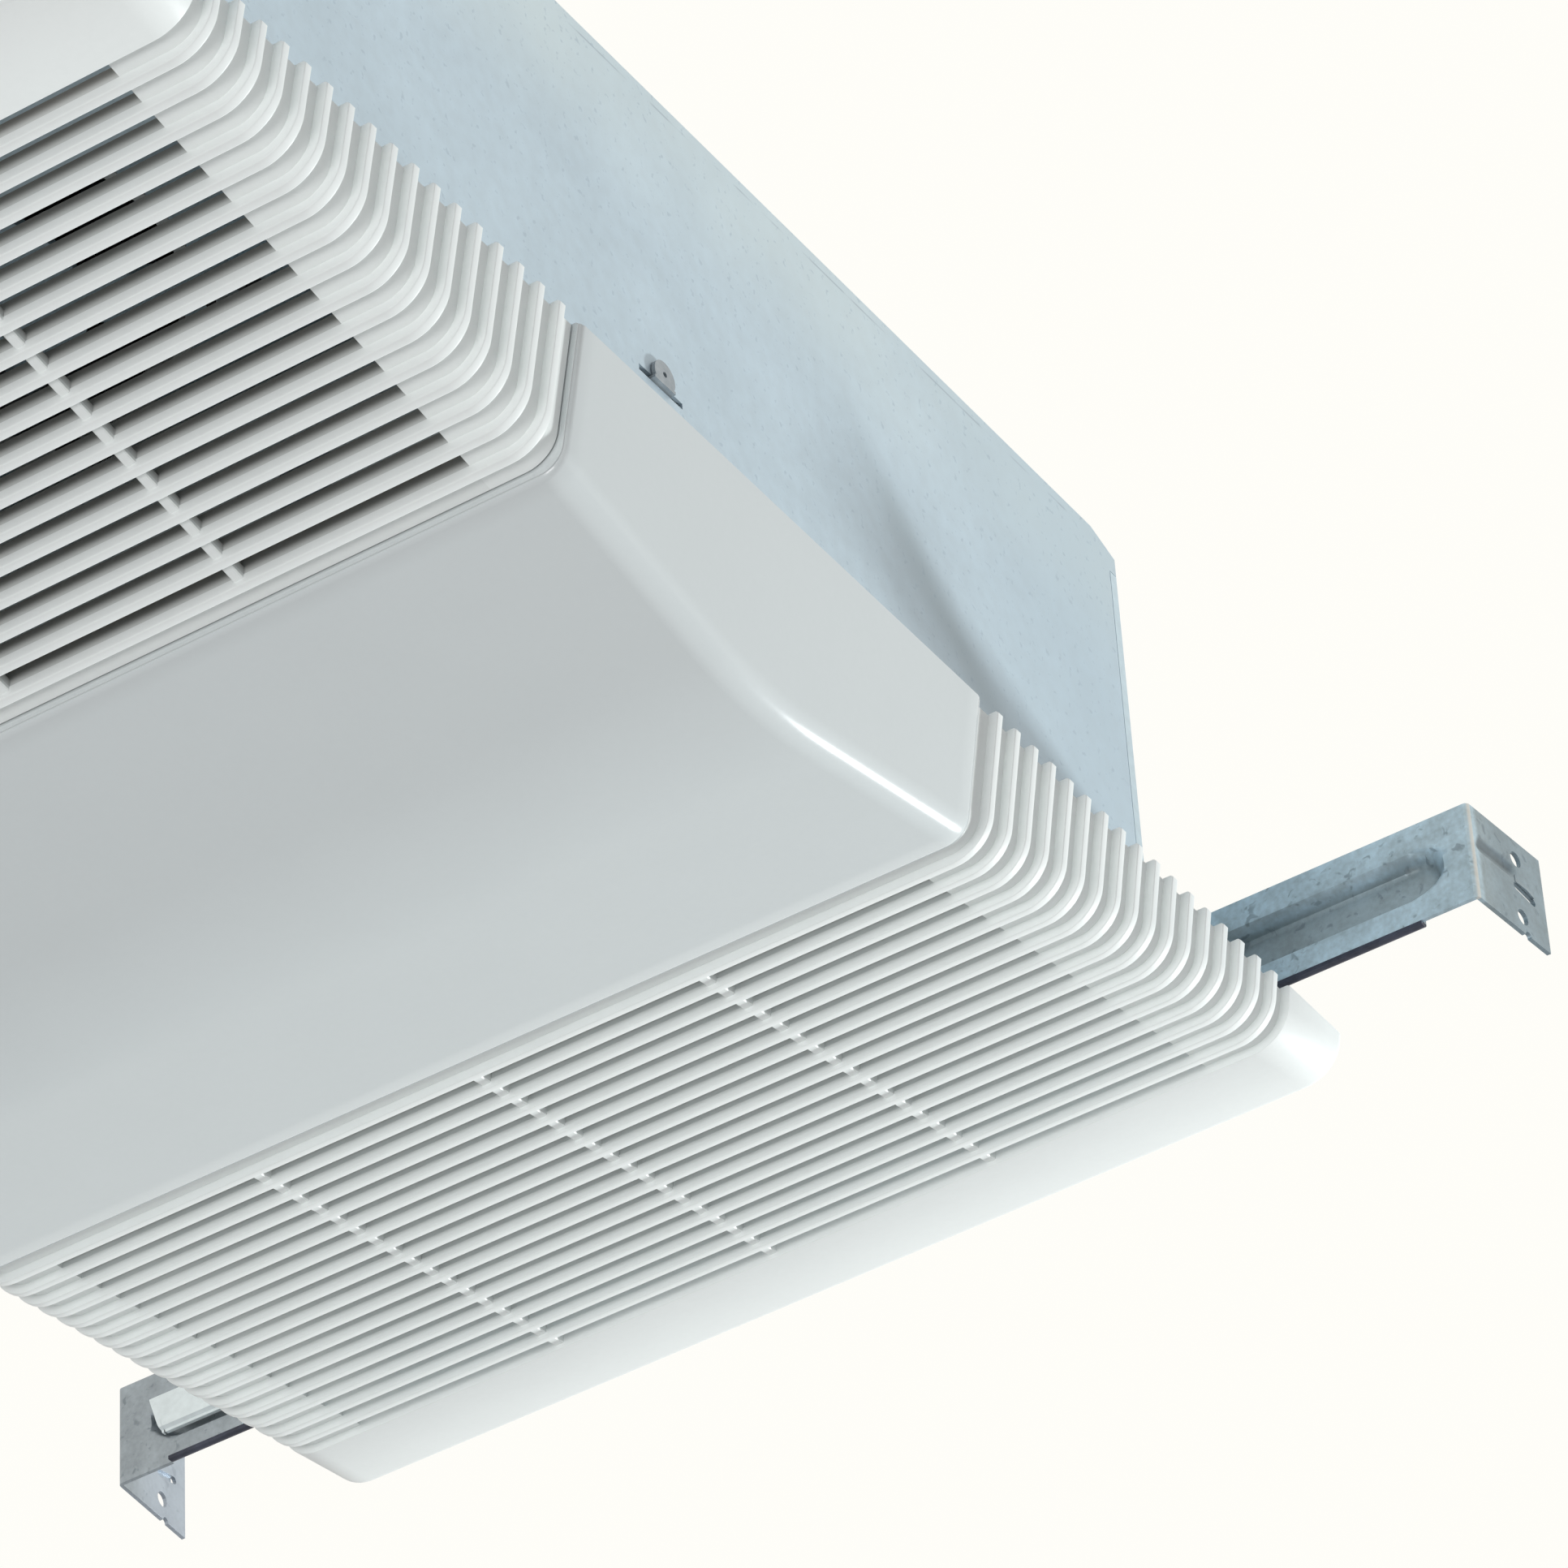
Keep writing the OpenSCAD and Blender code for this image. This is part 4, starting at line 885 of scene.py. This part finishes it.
def flange_x(end_x, reach):
    """Outer face of the splayed flange at a distance from the web."""
    return end_x - way_out(end_x) * SPLAY * (FLANGE - reach) / (FLANGE - BEND)


def slot_lean(end_x):
    """Lean of the nail slot; the sliding half ends at positive x."""
    return SLIDE_SLOT_LEAN if end_x > 0 else CHANNEL_SLOT_LEAN


def flange_cutters(end_x, y, low_z):
    """Cutters of two nail holes, the nail slot and the notch in the flange's lower edge."""
    shapes = [circle(y + NAIL_REACH, BEAD_Z + side * NAIL_RISE, NAIL_R) for side in (-1, 1)]
    shapes.append(slot_points(y + NAIL_SLOT_REACH, NAIL_SLOT_Z, NAIL_SLOT_HALF, NAIL_SLOT_R,
                              slot_lean(end_x)))
    shapes.append(circle(y + NOTCH_REACH, low_z, NOTCH_R))
    return [cutter_prism(shape, end_x - CUT_HALF, end_x + CUT_HALF) for shape in shapes]


def add_lance(obj, end_x, y, top):
    """Adds a tongue of metal pushed out above the nail slot, or over it if top is below zero."""
    way = way_out(end_x)
    lean = slot_lean(end_x)
    cos, sin = math.cos(lean), math.sin(lean)
    rings = []
    for along, rise in LANCE_RISE:
        ring = []
        inside = rise - LANCE_T if top < 0 else LANCE_UNDER
        for up, out in ((top, inside), (top, rise), *LANCE_FOOT):
            reach = NAIL_SLOT_REACH + along * cos - up * sin
            ring.append(Vector((flange_x(end_x, reach) + way * out, y + reach,
                                NAIL_SLOT_Z + along * sin + up * cos)))
        rings.append(ring)
    bm = bmesh.new()
    bm.from_mesh(obj.data)
    add_faces(bm, rings)
    bmesh.ops.recalc_face_normals(bm, faces=bm.faces)
    bm.to_mesh(obj.data)
    bm.free()


def round_edges(obj):
    """Thin rounded edges, as a shear and a press leave them."""
    bevel = obj.modifiers.new("edges", "BEVEL")
    bevel.width = SHEARED_EDGE
    bevel.segments = 2
    bevel.limit_method = "ANGLE"
    bevel.angle_limit = math.radians(50)
    return obj


def make_channel(name):
    """Channel half without its lower lip."""
    bm = bmesh.new()
    end_x = channel_low.x
    full_x = -end_x - LIP_START
    xs = spread((LIP_END_X, 0), (160 * MM, 4), (-150 * MM, 16), (-full_x, 16),
                (-full_x - STEP_W, 1), (end_x + SPLAY + BEND, 12))
    add_web(bm, xs, CHANNEL_Y, CHANNEL_EDGE, end_x, full_x, BAR_LOW, CHANNEL_BEAD)
    add_lip(bm, -full_x, TOP_LIP_END_X, CHANNEL_Y, BAR_TOP, TOP_LIP_REACH)
    obj = finish_mesh(name, bm, channel_steel, 35)
    cut_holes(obj, flange_cutters(end_x, CHANNEL_Y, BAR_LOW))
    add_lance(obj, end_x, CHANNEL_Y, CHANNEL_LANCE_TOP)
    return round_edges(obj)


def make_channel_lip(name):
    """Lower lip of the channel half, its near black colour painted shade."""
    bm = bmesh.new()
    add_lip(bm, channel_low.x + LIP_START, LIP_END_X, CHANNEL_Y, BAR_LOW, LOW_LIP_REACH)
    return round_edges(finish_mesh(name, bm, lip_painted_shade, 35))


def make_slide(name):
    """Sliding half without its free end."""
    bm = bmesh.new()
    end_x = slide_high.x
    end_low = BAR_LOW + SLIDE_EDGE
    xs = spread((-150 * MM, 0), (-138 * MM, 6), (STEP_X, 12), (STEP_X + STEP_W, 1),
                (140 * MM, 4), (172 * MM, 30), (end_x - SPLAY - BEND, 6))
    add_web(bm, xs, BAR_Y, SLIDE_EDGE, end_x, STEP_X, end_low, SLIDE_BEAD)
    obj = finish_mesh(name, bm, slide_steel, 35)
    cut_holes(obj, flange_cutters(end_x, BAR_Y, end_low))
    add_lance(obj, end_x, BAR_Y, SLIDE_LANCE_TOP)
    return round_edges(obj)


def make_tongue(name):
    """Narrow free end of the sliding half, standing proud inside the channel."""
    bm = bmesh.new()
    tip, neck, root = TONGUE_X
    top = TONGUE_SECTION[0][0]
    front, back = [], []
    for x in spread((tip, 0), (neck, 2), (root, 10)):
        skew = TONGUE_SKEW if x < TONGUE_TIP_X else 0.0
        dent = DENT_DEPTH * max(0.0, 1 - abs(x - DENT_X) / DENT_HALF)
        line_front, line_back = [], []
        for dz, dy in TONGUE_SECTION:
            px = x + skew * (top - dz)
            push = dent if DENT_FROM < dz < DENT_TO else 0.0
            line_front.append((px, BAR_Y + (dy + push) * MM, BEAD_Z + dz * MM))
            line_back.append((px, BAR_Y + (dy + 1) * MM, BEAD_Z + dz * MM))
        front.append(line_front)
        back.append(line_back)
    add_sheet(bm, front, back)
    return round_edges(finish_mesh(name, bm, lit_tongue_steel, 35))


def turn_half_round(obj):
    """Turns a finished piece half round the unit's upright axis."""
    for v in obj.data.vertices:
        v.co.x = -v.co.x
        v.co.y = -v.co.y


BAR_PIECES = (
    (make_channel, "channel_bar", "channel", ["bar_channel"]),
    (make_channel_lip, "channel_lip", "channel", []),
    (make_slide, "slide_bar", "slide", ["bar_slide"]),
    (make_tongue, "slide_tongue", "slide", []),
)
for end in ("front", "rear"):
    for make, piece_name, body, nodes in BAR_PIECES:
        piece = make(f"{end}_{piece_name}")
        if end == "rear":
            turn_half_round(piece)
        place(piece, f"{end}_{body}", "galvanised_sheet", *[f"{end}_{node}" for node in nodes])

# Camera, as fitted to the photo
CAMERA_LENS = 188.03
CAMERA_TURN = Vector((0.887834, 0.21873, -0.567528))
CAMERA_AT = (0.789, -1.08139, -1.06948)
camera_data = bpy.data.cameras.new("camera")
camera_data.sensor_width = 36
camera_data.lens = CAMERA_LENS
camera_data.clip_end = 50
camera = bpy.data.objects.new("camera", camera_data)
bpy.context.scene.collection.objects.link(camera)
right, down, forward = Matrix.Rotation(CAMERA_TURN.length, 3, CAMERA_TURN.normalized())
axes = Matrix((right, -down, -forward)).transposed()
camera.matrix_world = Matrix.Translation(CAMERA_AT) @ axes.to_4x4()
bpy.context.scene.camera = camera

# Floor
FLOOR_Z = -2.4
FLOOR_HALF = 6
floor_bm = bmesh.new()
bmesh.ops.create_grid(floor_bm, x_segments=1, y_segments=1, size=FLOOR_HALF)
floor_paint = material("floor_paint", (0.86, 0.86, 0.86), 0.8, vary=0.01, relief=0)
floor = finish_mesh("floor", floor_bm, floor_paint)
floor.location.z = FLOOR_Z

# World: soft light all round, and a plain backdrop where it is seen directly or mirrored
world = bpy.data.worlds.new("studio")
bpy.context.scene.world = world
world.use_nodes = True
tree = world.node_tree
background = tree.nodes["Background"]
background.inputs["Color"].default_value = (0.98, 0.99, 1.0, 1)
background.inputs["Strength"].default_value = 0.39
backdrop = tree.nodes.new("ShaderNodeBackground")
backdrop.inputs["Color"].default_value = (0.995, 0.985, 0.94, 1)
ray = tree.nodes.new("ShaderNodeLightPath").outputs
seen = math_node(tree, "MAXIMUM", ray["Is Camera Ray"], ray["Is Glossy Ray"])
seen = math_node(tree, "MAXIMUM", seen, ray["Is Transmission Ray"])
mix = tree.nodes.new("ShaderNodeMixShader")
tree.links.new(seen, mix.inputs["Fac"])
tree.links.new(background.outputs["Background"], mix.inputs[1])
tree.links.new(backdrop.outputs["Background"], mix.inputs[2])
tree.links.new(mix.outputs["Shader"], tree.nodes["World Output"].inputs["Surface"])


# Lights

def add_area(name, place_at, aim, size, power, color=(1, 1, 1)):
    """Rectangular lamp of a size and power, turned towards a point."""
    data = bpy.data.lights.new(name, "AREA")
    data.shape = "RECTANGLE"
    data.size, data.size_y = size
    data.energy = power
    data.color = color
    lamp = bpy.data.objects.new(name, data)
    bpy.context.scene.collection.objects.link(lamp)
    lamp.location = place_at
    lamp.rotation_euler = (Vector(aim) - Vector(place_at)).to_track_quat("-Z", "Y").to_euler()


add_area("key", (1.25, 2.05, -0.7), (0, 0, 0), (0.3, 0.3), 52, (0.95, 1.0, 1.0))
add_area("side", (2.4, -0.3, -0.2), (0, 0, 0.05), (1.2, 1.0), 1)
add_area("low", (0.2, -2.1, -1.2), (0, 0, 0), (1.2, 0.6), 20)

bpy.context.scene.view_settings.view_transform = "Standard"
